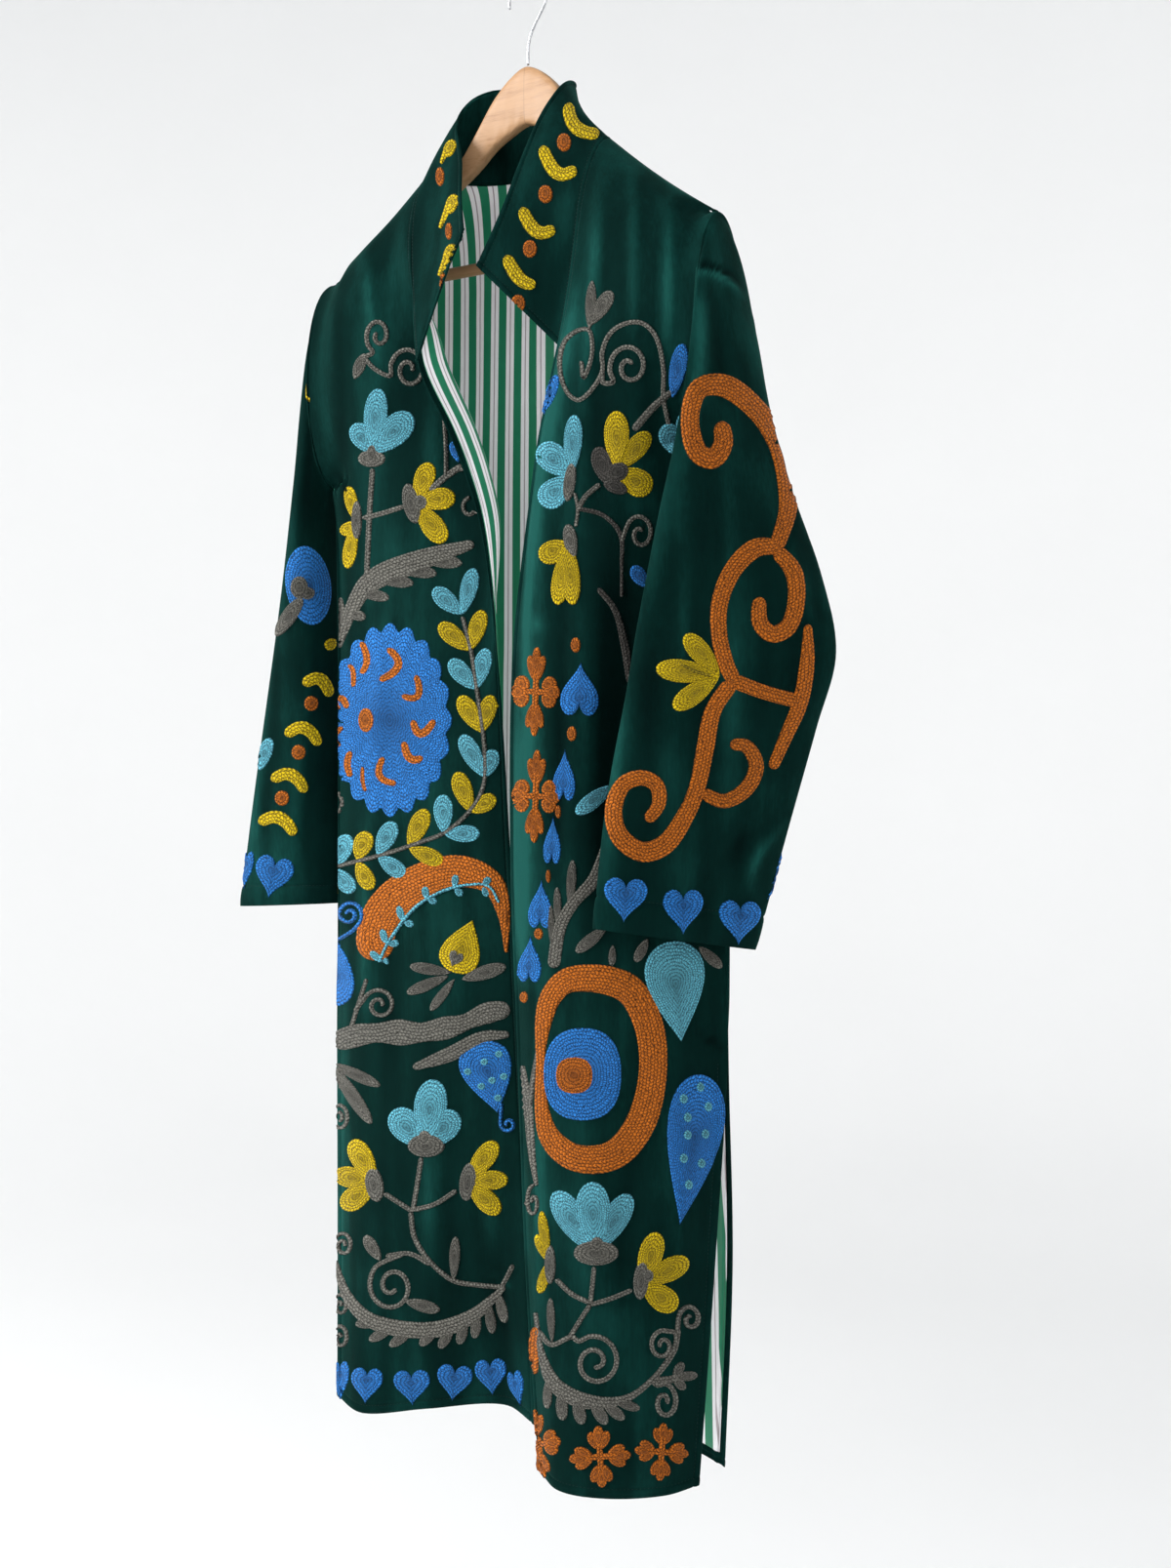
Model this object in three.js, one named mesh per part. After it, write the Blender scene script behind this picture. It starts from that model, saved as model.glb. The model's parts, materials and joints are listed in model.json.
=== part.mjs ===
// Velvet long coat, open in front and lined with striped satin, on a wooden hanger.
// Millimetres. The origin is the inside top of the hook's bend; +Z is up, the front
// faces -Y and the wearer's left is +X. Every cloth piece is a wall worked out from
// short tables of sections; seams are gaps of a few tenths of a millimetre.
import * as THREE from 'three';

// ---------- named sizes ----------
const VELVET = 1.6;            // wall of the velvet pieces
const COLLAR_WALL = 2.4;       // two layers of velvet in the collar
const LINING = 1.0;            // wall of the satin lining
const LINING_GAP = 0.6;        // air between velvet and lining
const SEAM = 0.25;             // each piece stops this far short of a seam
const ARMHOLE_X = 232;         // plane of the armhole seam
const SHOULDER_TIP_Z = -282;
const UNDERARM_Z = -500;
const SHOULDER_DIP = 4;         // the shoulder line sags between neck and tip
const NECK_X = 106;            // neck point of the shoulder seam
const NECK_Z = -186;
const NAPE_Z = -190;
const NAPE_Y = 38;
const RIDGE_NECK_Y = -18;      // the shoulder seam runs a little in front of the hook
const RIDGE_TIP_Y = -24;
const ARMHOLE_Y = -24;         // middle of the armhole, front to back
const ARMHOLE_HALF_DEPTH = 44;
const SHOULDER_ROUND = 92;     // height over which the shoulder rounds into the panels
const FRONT_TOP_Z = -398;      // where the collar ends on the front edge
const HOOK_WIRE = 1.6;         // radius
const HOOK_INNER = 21.5;       // inside radius of the bend

// ---------- tables of plan sections ----------
// One row per height. From the side seam to the front edge: side, flank, belly, roll, edge.
const FRONT_COLUMNS = ['z', 'side_x', 'side_y', 'flank_x', 'flank_y', 'belly_x', 'belly_y',
  'roll_x', 'roll_y', 'edge_x', 'edge_y'];
const FRONT_LEFT_ROWS = [
  [-186, 232, -46, 196, -58, 150, -66, 118, -66, 106, -60],
  [-290, 232, -66, 194, -72, 150, -78, 112, -78, 92, -70],
  [-398, 232, -68, 194, -78, 150, -88, 110, -90, 83, -78],
  [-520, 230, -26, 196, -60, 146, -92, 100, -100, 64, -84],
  [-680, 229, -20, 190, -60, 136, -100, 82, -104, 41, -84],
  [-860, 239, -19, 192, -62, 138, -104, 84, -110, 39, -86],
  [-1060, 238, -18, 206, -68, 150, -112, 92, -118, 47, -86],
  [-1260, 231, -30, 209, -78, 156, -118, 98, -118, 56, -86],
  [-1462, 221, -42, 203, -76, 160, -106, 112, -113, 69, -82],
];
const FRONT_RIGHT_ROWS = [
  [-186, -232, -46, -196, -58, -150, -62, -118, -60, -106, -54],
  [-262, -232, -64, -194, -66, -146, -66, -106, -56, -86, -58],
  [-304, -232, -67, -193, -70, -142, -70, -62, -58, -72, -66],
  [-345, -232, -68, -192, -74, -140, -74, -30, -54, -66, -76],
  [-398, -232, -68, -190, -76, -134, -76, -35, -54, -60, -88],
  [-470, -231, -42, -186, -68, -122, -72, -24, -54, -27, -94],
  [-560, -230, -25, -182, -60, -104, -72, -2, -56, 0, -82],
  [-680, -230, -22, -178, -58, -96, -76, -12, -66, 9, -66],
  [-860, -231, -22, -176, -56, -92, -72, -16, -68, 18, -58],
  [-1060, -231, -22, -174, -54, -90, -66, -12, -58, 26, -52],
  [-1260, -230, -22, -172, -54, -90, -58, -12, -44, 33, -44],
  [-1462, -226, -28, -170, -52, -96, -34, -22, -12, 34, -34],
];
// The back is given by its half widths, the depth at its sides and the depth in the middle.
const BACK_COLUMNS = ['z', 'left_x', 'right_x', 'side_y', 'mid_y'];
const BACK_ROWS = [
  [-186, 232, 232, 4, 38],
  [-388, 232, 232, 19, 34],
  [-520, 230, 230, -23, 32],
  [-680, 229, 230, -19, 31],
  [-860, 239, 231, -18, 30],
  [-1060, 238, 231, -17, 30],
  [-1260, 231, 227, 4, 28],
  [-1462, 215, 214, 18, 24],
];
// Hem heights: from the side to the front edge, and the back hem at side and middle.
const HEM_LEFT = [-1458, -1461, -1463, -1463, -1461];
const HEM_RIGHT = [-1458, -1460, -1446, -1434, -1440];
const HEM_BACK_SIDE = -1461;
const HEM_BACK_MID = -1432;

// Sleeve rings: the outer and the inner point of each ring, its front-to-back half
// width and the turn of that width from the Y axis (degrees, back end outwards).
const SLEEVE_COLUMNS = ['out_x', 'out_y', 'out_z', 'in_x', 'in_y', 'in_z', 'half', 'turn', 'drop'];
const SLEEVE_LEFT_ROWS = [
  [232, -24, -282, 232, -24, -500, 44, 0, 0],
  [241, -28, -308, 235, -28, -508, 52, 3, 0],
  [250, -36, -362, 236, -34, -524, 54, 9, 0],
  [260, -45, -436, 237, -40, -552, 58, 19, 0],
  [273, -54, -520, 239, -44, -590, 68, 30, 1],
  [284, -62, -604, 244, -38, -636, 84, 38, 3],
  [280, -64, -680, 247, -32, -692, 95, 44, 6],
  [268, -72, -752, 237, -42, -756, 93, 40, 8],
  [250, -84, -850, 221, -60, -852, 89, 37, 10],
  [232, -91, -953, 205, -70, -953, 82, 33, 12],
];
const SLEEVE_RIGHT_ROWS = [
  [-232, -24, -282, -232, -24, -500, 44, 0, 0],
  [-242, -24, -316, -234, -24, -508, 44, 0, 0],
  [-255, -23, -384, -236, -22, -528, 43, 0, 0],
  [-268, -23, -462, -238, -19, -560, 41, 0, 0],
  [-284, -23, -544, -239, -15, -606, 39, 0, 0],
  [-306, -24, -650, -240, -10, -682, 35, 0, 0],
  [-327, -25, -756, -240, -7, -772, 34, 0, 0],
  [-346, -26, -856, -239, -5, -862, 32, 0, 0],
  [-362, -26, -944, -239, -3, -938, 30, 0, 0],
];
// Side seam: height and depth.
const SIDE_SEAM_ROWS = [[-500, -24], [-620, -22], [-860, -20.5], [-1060, -19.5]];
const SLIT_TOP_Z = -1068;
// Free edge of the collar, from the wearer's right end round the nape to the left end.
const COLLAR_COLUMNS = ['x', 'y', 'z'];
const COLLAR_TOP_ROWS = [
  [-13, -92, -277],
  [-35, -66, -231],
  [-52, -42, -183],
  [-78, -14, -135],
  [-79, 10, -105],
  [-60, 30, -92],
  [0, 56, -99],
  [28, 44, -100],
  [42, 12, -109],
  [49, -18, -127],
  [46, -46, -162],
  [42, -72, -210],
  [35, -92, -259],
  [26, -102, -291],
  [16, -110, -319],
];
// Profile of the hanger: top and bottom edge, centre line depth and half thickness.
const HANGER_COLUMNS = ['x', 'top', 'bottom', 'y', 'half'];
const HANGER_ROWS = [
  [0, -90, -148, 0, 7.5],
  [12, -95, -153, 0, 7.5],
  [25, -104, -159, -0.5, 7.5],
  [40, -119, -167, -1, 7.5],
  [60, -150, -186, -3, 7.5],
  [74, -171, -196, -5, 8],
  [88, -185, -206, -7, 8],
  [110, -204, -225, -11, 8.5],
  [150, -233, -256, -16, 9],
  [188, -262, -285, -19, 9],
  [210, -282, -302, -21, 9],
];

// ---------- small maths ----------
const clamp = (v, a, b) => Math.min(b, Math.max(a, v));
const lerp = (a, b, t) => a + (b - a) * t;
const smooth = (t) => t * t * (3 - 2 * t);
const add = (a, b) => a.map((v, i) => v + b[i]);
const sub = (a, b) => a.map((v, i) => v - b[i]);
const scale = (a, s) => a.map((v) => v * s);
const cross = (a, b) => [a[1] * b[2] - a[2] * b[1], a[2] * b[0] - a[0] * b[2],
  a[0] * b[1] - a[1] * b[0]];
const unit = (a) => scale(a, 1 / (Math.hypot(...a) || 1));

// Smooth curve through values at given stations; the ends are left free.
function through(stations, values, at) {
  const last = stations.length - 1;
  const t = clamp(at, stations[0], stations[last]);
  let i = 0;
  while (i < last - 1 && t > stations[i + 1]) i += 1;
  const slope = (k) => {
    if (k === 0) return (values[1] - values[0]) / (stations[1] - stations[0]);
    if (k === last) return (values[k] - values[k - 1]) / (stations[k] - stations[k - 1]);
    return (values[k + 1] - values[k - 1]) / (stations[k + 1] - stations[k - 1]);
  };
  const h = stations[i + 1] - stations[i];
  const s = (t - stations[i]) / h;
  const s2 = s * s;
  const s3 = s2 * s;
  return (2 * s3 - 3 * s2 + 1) * values[i] + (s3 - 2 * s2 + s) * h * slope(i)
    + (3 * s2 - 2 * s3) * values[i + 1] + (s3 - s2) * h * slope(i + 1);
}
const column = (rows, columns, name) => rows.map((row) => row[columns.indexOf(name)]);
function read(rows, columns, key, name, at) {
  const keys = column(rows, columns, key);
  const values = column(rows, columns, name);
  if (keys[0] > keys[keys.length - 1]) return through(keys.map((k) => -k), values, -at);
  return through(keys, values, at);
}

// ---------- shoulder line ----------
function shoulderZ(x) {
  const t = clamp((Math.abs(x) - NECK_X) / (ARMHOLE_X - NECK_X), 0, 1);
  return lerp(NECK_Z, SHOULDER_TIP_Z, t) - SHOULDER_DIP * Math.sin(Math.PI * t);
}
function ridgeY(x) {
  const t = clamp((Math.abs(x) - NECK_X) / (ARMHOLE_X - NECK_X), 0, 1);
  return lerp(RIDGE_NECK_Y, RIDGE_TIP_Y, t);
}
const rounding = (drop) => {
  const t = clamp(drop / SHOULDER_ROUND, 0, 1);
  return Math.sqrt(1 - (1 - t) * (1 - t));
};
// Front or back half of the armhole seam (side -1 front, +1 back) at a height.
function armholeY(z, side) {
  const mid = (SHOULDER_TIP_Z + UNDERARM_Z) / 2;
  const half = (SHOULDER_TIP_Z - UNDERARM_Z) / 2;
  const s = clamp((z - mid) / half, -1, 1);
  return ARMHOLE_Y + side * ARMHOLE_HALF_DEPTH * Math.sqrt(Math.max(0, 1 - s * s));
}
// Below the armhole a front and the back are sewn along one line, down to the slit.
function sideSeamY(z) {
  return through(SIDE_SEAM_ROWS.map((row) => -row[0]), SIDE_SEAM_ROWS.map((row) => row[1]), -z);
}
const seamHold = (z) => smooth(clamp((z - SLIT_TOP_Z) / 90, 0, 1));

// ---------- body panels ----------
const STATIONS = [0, 0.22, 0.5, 0.78, 1];
const POINTS = ['side', 'flank', 'belly', 'roll', 'edge'];
function frontSection(rows, u, z) {
  const xs = POINTS.map((p) => read(rows, FRONT_COLUMNS, 'z', `${p}_x`, z));
  const ys = POINTS.map((p) => read(rows, FRONT_COLUMNS, 'z', `${p}_y`, z));
  return [through(STATIONS, xs, u), through(STATIONS, ys, u)];
}
function frontPoint(side, u, v) {
  const rows = side > 0 ? FRONT_LEFT_ROWS : FRONT_RIGHT_ROWS;
  const topX = lerp(ARMHOLE_X, NECK_X, u);
  const top = shoulderZ(topX);
  const hem = through(STATIONS, side > 0 ? HEM_LEFT : HEM_RIGHT, u);
  const z = lerp(top, hem, v);
  const [x, y] = frontSection(rows, u, z);
  const nearTop = clamp((z - UNDERARM_Z) / (top - UNDERARM_Z), 0, 1);
  const px = lerp(x, side * topX, smooth(nearTop));
  const g = rounding(top - z);
  let py = lerp(ridgeY(topX), y, g);
  const near = smooth(clamp(1 - u / 0.3, 0, 1));
  py = z > UNDERARM_Z ? lerp(py, armholeY(z, -1), near)
    : lerp(py, sideSeamY(z), clamp(1 - u / FRONT_U[1], 0, 1) * seamHold(z));
  return [px, py, z];
}
function backPoint(u, v) {
  const side = Math.sign(u) || 1;
  const w = Math.abs(u);
  const neckU = NECK_X / ARMHOLE_X;
  const topX = w * ARMHOLE_X;
  const inNeck = clamp(w / neckU, 0, 1);
  const top = w < neckU ? lerp(NAPE_Z, NECK_Z, inNeck * inNeck) : shoulderZ(topX);
  const topY = w < neckU ? lerp(NAPE_Y, RIDGE_NECK_Y, inNeck ** 3) : ridgeY(topX);
  const hem = lerp(HEM_BACK_MID, HEM_BACK_SIDE, w * w);
  const z = lerp(top, hem, v);
  const half = read(BACK_ROWS, BACK_COLUMNS, 'z', u > 0 ? 'left_x' : 'right_x', z);
  const sideY = read(BACK_ROWS, BACK_COLUMNS, 'z', 'side_y', z);
  const midY = read(BACK_ROWS, BACK_COLUMNS, 'z', 'mid_y', z);
  const belly = 1 - w ** 3.2;
  const folds = smooth(clamp((-420 - z) / 900, 0, 1)) * (1 - w ** 6)
    * (6.5 * Math.cos(7.5 * u + 0.6) + 4 * Math.cos(13 * u - 0.9));
  const g = rounding(top - z);
  let py = lerp(topY, lerp(sideY, midY, belly) + folds, g);
  const near = smooth(clamp(1 - (1 - w) / 0.16, 0, 1));
  py = z > UNDERARM_Z ? lerp(py, armholeY(z, 1), near)
    : lerp(py, sideSeamY(z), clamp(1 - (1 - w) / 0.028, 0, 1) * seamHold(z));
  const nearTop = smooth(clamp((z - UNDERARM_Z) / (top - UNDERARM_Z), 0, 1));
  return [side * lerp(half * w, topX, nearTop), py, z];
}

// ---------- sleeves ----------
function sleeveRing(rows, t) {
  const keys = rows.map((_, i) => i);
  const value = (name) => through(keys, column(rows, SLEEVE_COLUMNS, name), t);
  const out = [value('out_x'), value('out_y'), value('out_z')];
  const inn = [value('in_x'), value('in_y'), value('in_z')];
  const turn = (value('turn') * Math.PI) / 180;
  const wide = [Math.sin(turn) * value('half'), Math.cos(turn) * value('half'), -value('drop')];
  return { centre: scale(add(out, inn), 0.5), reach: scale(sub(out, inn), 0.5), wide };
}
// phi 0 is the outer (shoulder) line, a quarter turn on is the back, a half turn the inner line.
function sleevePoint(rows, phi, t) {
  const ring = sleeveRing(rows, t);
  return add(ring.centre, add(scale(ring.reach, Math.cos(phi)), scale(ring.wide, Math.sin(phi))));
}

// ---------- walls ----------
// Outward normals of a grid of points; wrap joins the last column to the first.
function gridNormals(grid, wrap, flip) {
  const rows = grid.length;
  const cols = grid[0].length;
  return grid.map((line, j) => line.map((_, i) => {
    const left = wrap ? (i + cols - 1) % cols : Math.max(0, i - 1);
    const right = wrap ? (i + 1) % cols : Math.min(cols - 1, i + 1);
    const up = Math.max(0, j - 1);
    const down = Math.min(rows - 1, j + 1);
    const n = cross(sub(line[right], line[left]), sub(grid[down][i], grid[up][i]));
    return scale(unit(n), flip);
  }));
}
// Closed wall between two depths under a grid.
function wallGeometry(grid, normals, from, to, wrap) {
  const rows = grid.length;
  const cols = grid[0].length;
  const positions = [];
  const layer = (depth) => grid.forEach((line, j) => line.forEach((p, i) => {
    positions.push(...add(p, scale(normals[j][i], -depth)));
  }));
  layer(from);
  layer(to);
  const count = rows * cols;
  const at = (j, i, k) => k * count + j * cols + (i % cols);
  const index = [];
  const quad = (a, b, c, d) => index.push(a, b, c, a, c, d);
  const spans = wrap ? cols : cols - 1;
  for (let j = 0; j < rows - 1; j += 1) {
    for (let i = 0; i < spans; i += 1) {
      quad(at(j, i, 0), at(j + 1, i, 0), at(j + 1, i + 1, 0), at(j, i + 1, 0));
      index.push(at(j, i, 1), at(j + 1, i + 1, 1), at(j + 1, i, 1));
      index.push(at(j, i, 1), at(j, i + 1, 1), at(j + 1, i + 1, 1));
    }
  }
  for (let i = 0; i < spans; i += 1) {
    quad(at(0, i, 0), at(0, i + 1, 0), at(0, i + 1, 1), at(0, i, 1));
    quad(at(rows - 1, i, 0), at(rows - 1, i, 1), at(rows - 1, i + 1, 1), at(rows - 1, i + 1, 0));
  }
  if (!wrap) {
    for (let j = 0; j < rows - 1; j += 1) {
      quad(at(j, 0, 0), at(j, 0, 1), at(j + 1, 0, 1), at(j + 1, 0, 0));
      quad(at(j, cols - 1, 0), at(j + 1, cols - 1, 0), at(j + 1, cols - 1, 1), at(j, cols - 1, 1));
    }
  }
  return solid(positions, index);
}
// Geometry with its faces turned out.
function solid(positions, index) {
  let volume = 0;
  const p = (k) => positions.slice(3 * k, 3 * k + 3);
  for (let k = 0; k < index.length; k += 3) {
    const [a, b, c] = [p(index[k]), p(index[k + 1]), p(index[k + 2])];
    const n = cross(b, c);
    volume += a[0] * n[0] + a[1] * n[1] + a[2] * n[2];
  }
  const turned = index.slice();
  if (volume < 0) {
    for (let k = 0; k < turned.length; k += 3) {
      [turned[k + 1], turned[k + 2]] = [turned[k + 2], turned[k + 1]];
    }
  }
  const geometry = new THREE.BufferGeometry();
  geometry.setAttribute('position', new THREE.Float32BufferAttribute(positions, 3));
  geometry.setIndex(turned);
  geometry.computeVertexNormals();
  return geometry;
}
// ---------- materials ----------
const COLOURS = {
  velvet: [0x0f4a3c, 0.9, 0],
  satin: [0x5f9a7c, 0.45, 0],
  beech: [0xe2c49a, 0.55, 0],
  steel: [0xb9bcc0, 0.3, 1],
};
const group = new THREE.Group();
function addPart(name, geometry, slot) {
  const [color, roughness, metalness] = COLOURS[slot];
  const mesh = new THREE.Mesh(geometry,
    new THREE.MeshStandardMaterial({ color, roughness, metalness }));
  mesh.name = name;
  group.add(mesh);
}

// ---------- rows of the grids ----------
// Rows close together over the shoulder and further apart below the underarm.
const ROWS_V = [0, 0.006, 0.02, 0.042, 0.072, 0.104, 0.135, 0.1663, 0.2, 0.24, 0.285, 0.34, 0.4, 0.46,
  0.52, 0.58, 0.64, 0.7, 0.76, 0.82, 0.88, 0.94, 0.988, 1];
const FRONT_U = [0, 0.035, 0.11, 0.2, 0.3, 0.4, 0.51, 0.62, 0.73, 0.83, 0.91, 0.966, 1];
const BACK_U = [-1, -0.972, -0.91, -0.83, -0.74, -0.64, -0.55, -0.457, -0.34, -0.22, -0.11, 0.0,
  0.11, 0.22, 0.34, 0.457, 0.55, 0.64, 0.74, 0.83, 0.91, 0.972, 1];

function frontGrid(side) {
  const grid = ROWS_V.map((v) => FRONT_U.map((u) => frontPoint(side, u, v)));
  const normals = gridNormals(grid, false, side);
  grid.forEach((line, j) => {
    const first = line[0];
    const above = first[2] > UNDERARM_Z;
    normals[j][0] = above ? armholeNormal(first, -1) : [side, 0, 0];
    first[0] = above ? side * (ARMHOLE_X - SEAM) : first[0];
    first[1] -= above ? 0 : SEAM;
  });
  grid[0].forEach((p, i) => {
    p[1] -= SEAM;
    if (i > 0) normals[0][i] = shoulderNormal(side);
  });
  normals[0][0] = [0, 0, 1];
  collarMitre(grid, normals, FRONT_U.length - 1, side);
  return { grid, normals };
}
const shoulderNormal = (side) => unit([side * 0.56, 0, 0.83]);
function armholeNormal(p, side) {
  const mid = (SHOULDER_TIP_Z + UNDERARM_Z) / 2;
  const half = (SHOULDER_TIP_Z - UNDERARM_Z) / 2;
  const s = clamp((p[2] - mid) / half, -1, 1);
  return unit([0, (side * Math.sqrt(1 - s * s)) / ARMHOLE_HALF_DEPTH, s / half]);
}
// Along the collar seam the panel's end faces lean half way towards the collar.
function collarMitre(grid, normals, i, side) {
  grid.forEach((line, j) => {
    if (line[i][2] > FRONT_TOP_Z - 2) {
      const t = clamp((line[i][2] - FRONT_TOP_Z) / (NECK_Z - FRONT_TOP_Z), 0, 1);
      const low = [side * 0.3, -0.94, 0.15];
      const high = [side * 0.72, 0, 0.69];
      normals[j][i] = unit(low.map((v, k) => lerp(v, high[k], smooth(t))));
    }
  });
}
function backGrid() {
  const grid = ROWS_V.map((v) => BACK_U.map((u) => backPoint(u, v)));
  const normals = gridNormals(grid, false, 1);
  const last = BACK_U.length - 1;
  grid.forEach((line, j) => {
    for (const [i, side] of [[0, -1], [last, 1]]) {
      const above = line[i][2] > UNDERARM_Z;
      normals[j][i] = above ? armholeNormal(line[i], 1) : [side, 0, 0];
      line[i][0] = above ? side * (ARMHOLE_X - SEAM) : line[i][0];
      line[i][1] += above ? 0 : SEAM;
    }
  });
  BACK_U.forEach((u, i) => {
    const w = Math.abs(u) * ARMHOLE_X;
    const side = Math.sign(u) || 1;
    if (w >= NECK_X - 1) {
      grid[0][i][1] += SEAM;
      normals[0][i] = w > ARMHOLE_X - 1 ? [0, 0, 1] : shoulderNormal(side);
    } else {
      const t = w / NECK_X;
      normals[0][i] = unit([side * 0.72 * t, 1 - t, 0.4 + 0.29 * t]);
    }
  });
  return { grid, normals };
}

const left = frontGrid(1);
const right = frontGrid(-1);
const back = backGrid();
addPart('front_left', wallGeometry(left.grid, left.normals, 0, VELVET, false), 'velvet');
addPart('front_right', wallGeometry(right.grid, right.normals, 0, VELVET, false), 'velvet');
addPart('back', wallGeometry(back.grid, back.normals, 0, VELVET, false), 'velvet');

const LINING_TOP = VELVET + LINING_GAP;
// A lining lies under its panel from the first line inside the border to the last.
const inside = (lines) => lines.slice(1, -1).map((line) => line.slice(1, -1));
for (const [name, panel] of [
  ['lining_front_left', left],
  ['lining_front_right', right],
  ['lining_back', back],
]) {
  addPart(name, wallGeometry(inside(panel.grid), inside(panel.normals), LINING_TOP,
    LINING_TOP + LINING, false), 'satin');
}

// Sleeves.
const AROUND = 18;
const RINGS = 19;
function sleeveGrid(rows, side) {
  const grid = [];
  for (let j = 0; j < RINGS; j += 1) {
    const t = ((rows.length - 1) * j) / (RINGS - 1);
    const line = [];
    for (let i = 0; i < AROUND; i += 1) {
      line.push(sleevePoint(rows, (2 * Math.PI * i) / AROUND, t));
    }
    grid.push(line);
  }
  const normals = gridNormals(grid, true, -side);
  grid[0].forEach((p, i) => {
    p[0] = side * (ARMHOLE_X + SEAM);
    const phi = (2 * Math.PI * i) / AROUND;
    normals[0][i] = unit([0, Math.sin(phi) / ARMHOLE_HALF_DEPTH, Math.cos(phi) / 109]);
  });
  return { grid, normals };
}
for (const [name, rows, side] of [
  ['sleeve_left', SLEEVE_LEFT_ROWS, 1],
  ['sleeve_right', SLEEVE_RIGHT_ROWS, -1],
]) {
  const tube = sleeveGrid(rows, side);
  addPart(name, wallGeometry(tube.grid, tube.normals, 0, VELVET, true), 'velvet');
}

// Collar: from the seam on the panels' edges up to its free edge.
function collarSeam() {
  const last = FRONT_U.length - 1;
  const up = (panel) => panel.grid.map((line, j) => [line[last], panel.normals[j][last]])
    .filter(([p]) => p[2] > FRONT_TOP_Z - 2);
  const nape = back.grid[0].map((p, i) => [p, back.normals[0][i]])
    .filter((_, i) => Math.abs(BACK_U[i]) * ARMHOLE_X < NECK_X - 6);
  const line = [...up(right).reverse(), ...nape, ...up(left)];
  return { points: line.map((pair) => pair[0]), normals: line.map((pair) => pair[1]) };
}
const seamLine = collarSeam();
function alongLine(points, t, values = points) {
  const lengths = [0];
  for (let i = 1; i < points.length; i += 1) {
    lengths.push(lengths[i - 1] + Math.hypot(...sub(points[i], points[i - 1])));
  }
  const total = lengths[lengths.length - 1];
  return [0, 1, 2].map((k) => through(lengths.map((l) => l / total), values.map((p) => p[k]), t));
}
const COLLAR_ALONG = 30;
const COLLAR_UP = 4;
const COLLAR_LIFT = 2.4;
const COLLAR_TOP = COLLAR_TOP_ROWS.map((row) => ['x', 'y', 'z'].map(
  (name) => row[COLLAR_COLUMNS.indexOf(name)]));
const collarGrid = [];
for (let j = 0; j <= COLLAR_UP; j += 1) {
  const line = [];
  for (let i = 0; i <= COLLAR_ALONG; i += 1) {
    const s = i / COLLAR_ALONG;
    const base = alongLine(seamLine.points, s);
    const top = alongLine(COLLAR_TOP, s);
    const height = Math.hypot(...sub(top, base));
    const h = lerp(COLLAR_LIFT / height, 1, j / COLLAR_UP);
    line.push(base.map((v, k) => lerp(v, top[k], h)));
  }
  collarGrid.push(line);
}
const collarNormals = gridNormals(collarGrid, false, -1);
collarNormals[0] = collarNormals[0].map((_, i) => unit(
  alongLine(seamLine.points, i / COLLAR_ALONG, seamLine.normals)));
addPart('collar', wallGeometry(collarGrid, collarNormals, 0, COLLAR_WALL, false), 'velvet');

// Hanger: a shaped board whose arms slope down and curve forward.
function hangerGeometry() {
  const mirrored = HANGER_ROWS.slice(1).reverse().map((r) => [-r[0], ...r.slice(1)]);
  const rows = [...mirrored, ...HANGER_ROWS];
  const corner = 3;
  const rings = rows.map((row) => HANGER_COLUMNS.map((_, k) => row[k])).map(
    ([x, top, bottom, y, half]) => [
      [x, y - half, top - corner], [x, y - half + corner, top],
      [x, y + half - corner, top], [x, y + half, top - corner],
      [x, y + half, bottom + corner], [x, y + half - corner, bottom],
      [x, y - half + corner, bottom], [x, y - half, bottom + corner],
    ]);
  const positions = rings.flat(2);
  const n = 8;
  const index = [];
  for (let r = 0; r < rings.length - 1; r += 1) {
    for (let i = 0; i < n; i += 1) {
      const a = r * n + i;
      const b = r * n + ((i + 1) % n);
      index.push(a, b, b + n, a, b + n, a + n);
    }
  }
  const end = (rings.length - 1) * n;
  for (let i = 1; i < n - 1; i += 1) {
    index.push(0, i + 1, i);
    index.push(end, end + i, end + i + 1);
  }
  return solid(positions, index);
}
addPart('hanger_body', hangerGeometry(), 'beech');

// Round bar that hangs between the arms' ends, bowed forward with them.
const BAR_RADIUS = 6;
const BAR_Z = -291;
const BAR_HALF = 185;
function barGeometry() {
  const n = 10;
  const stations = [-1, -0.6, -0.2, 0.2, 0.6, 1];
  const positions = [];
  stations.forEach((s) => {
    for (let i = 0; i < n; i += 1) {
      const a = (2 * Math.PI * i) / n;
      positions.push(s * BAR_HALF, -19 + BAR_RADIUS * Math.cos(a),
        BAR_Z + BAR_RADIUS * Math.sin(a));
    }
  });
  const index = [];
  for (let r = 0; r < stations.length - 1; r += 1) {
    for (let i = 0; i < n; i += 1) {
      const a = r * n + i;
      const b = r * n + ((i + 1) % n);
      index.push(a, b, b + n, a, b + n, a + n);
    }
  }
  const end = (stations.length - 1) * n;
  for (let i = 1; i < n - 1; i += 1) {
    index.push(0, i + 1, i);
    index.push(end, end + i, end + i + 1);
  }
  return solid(positions, index);
}
addPart('hanger_bar', barGeometry(), 'beech');

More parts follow.
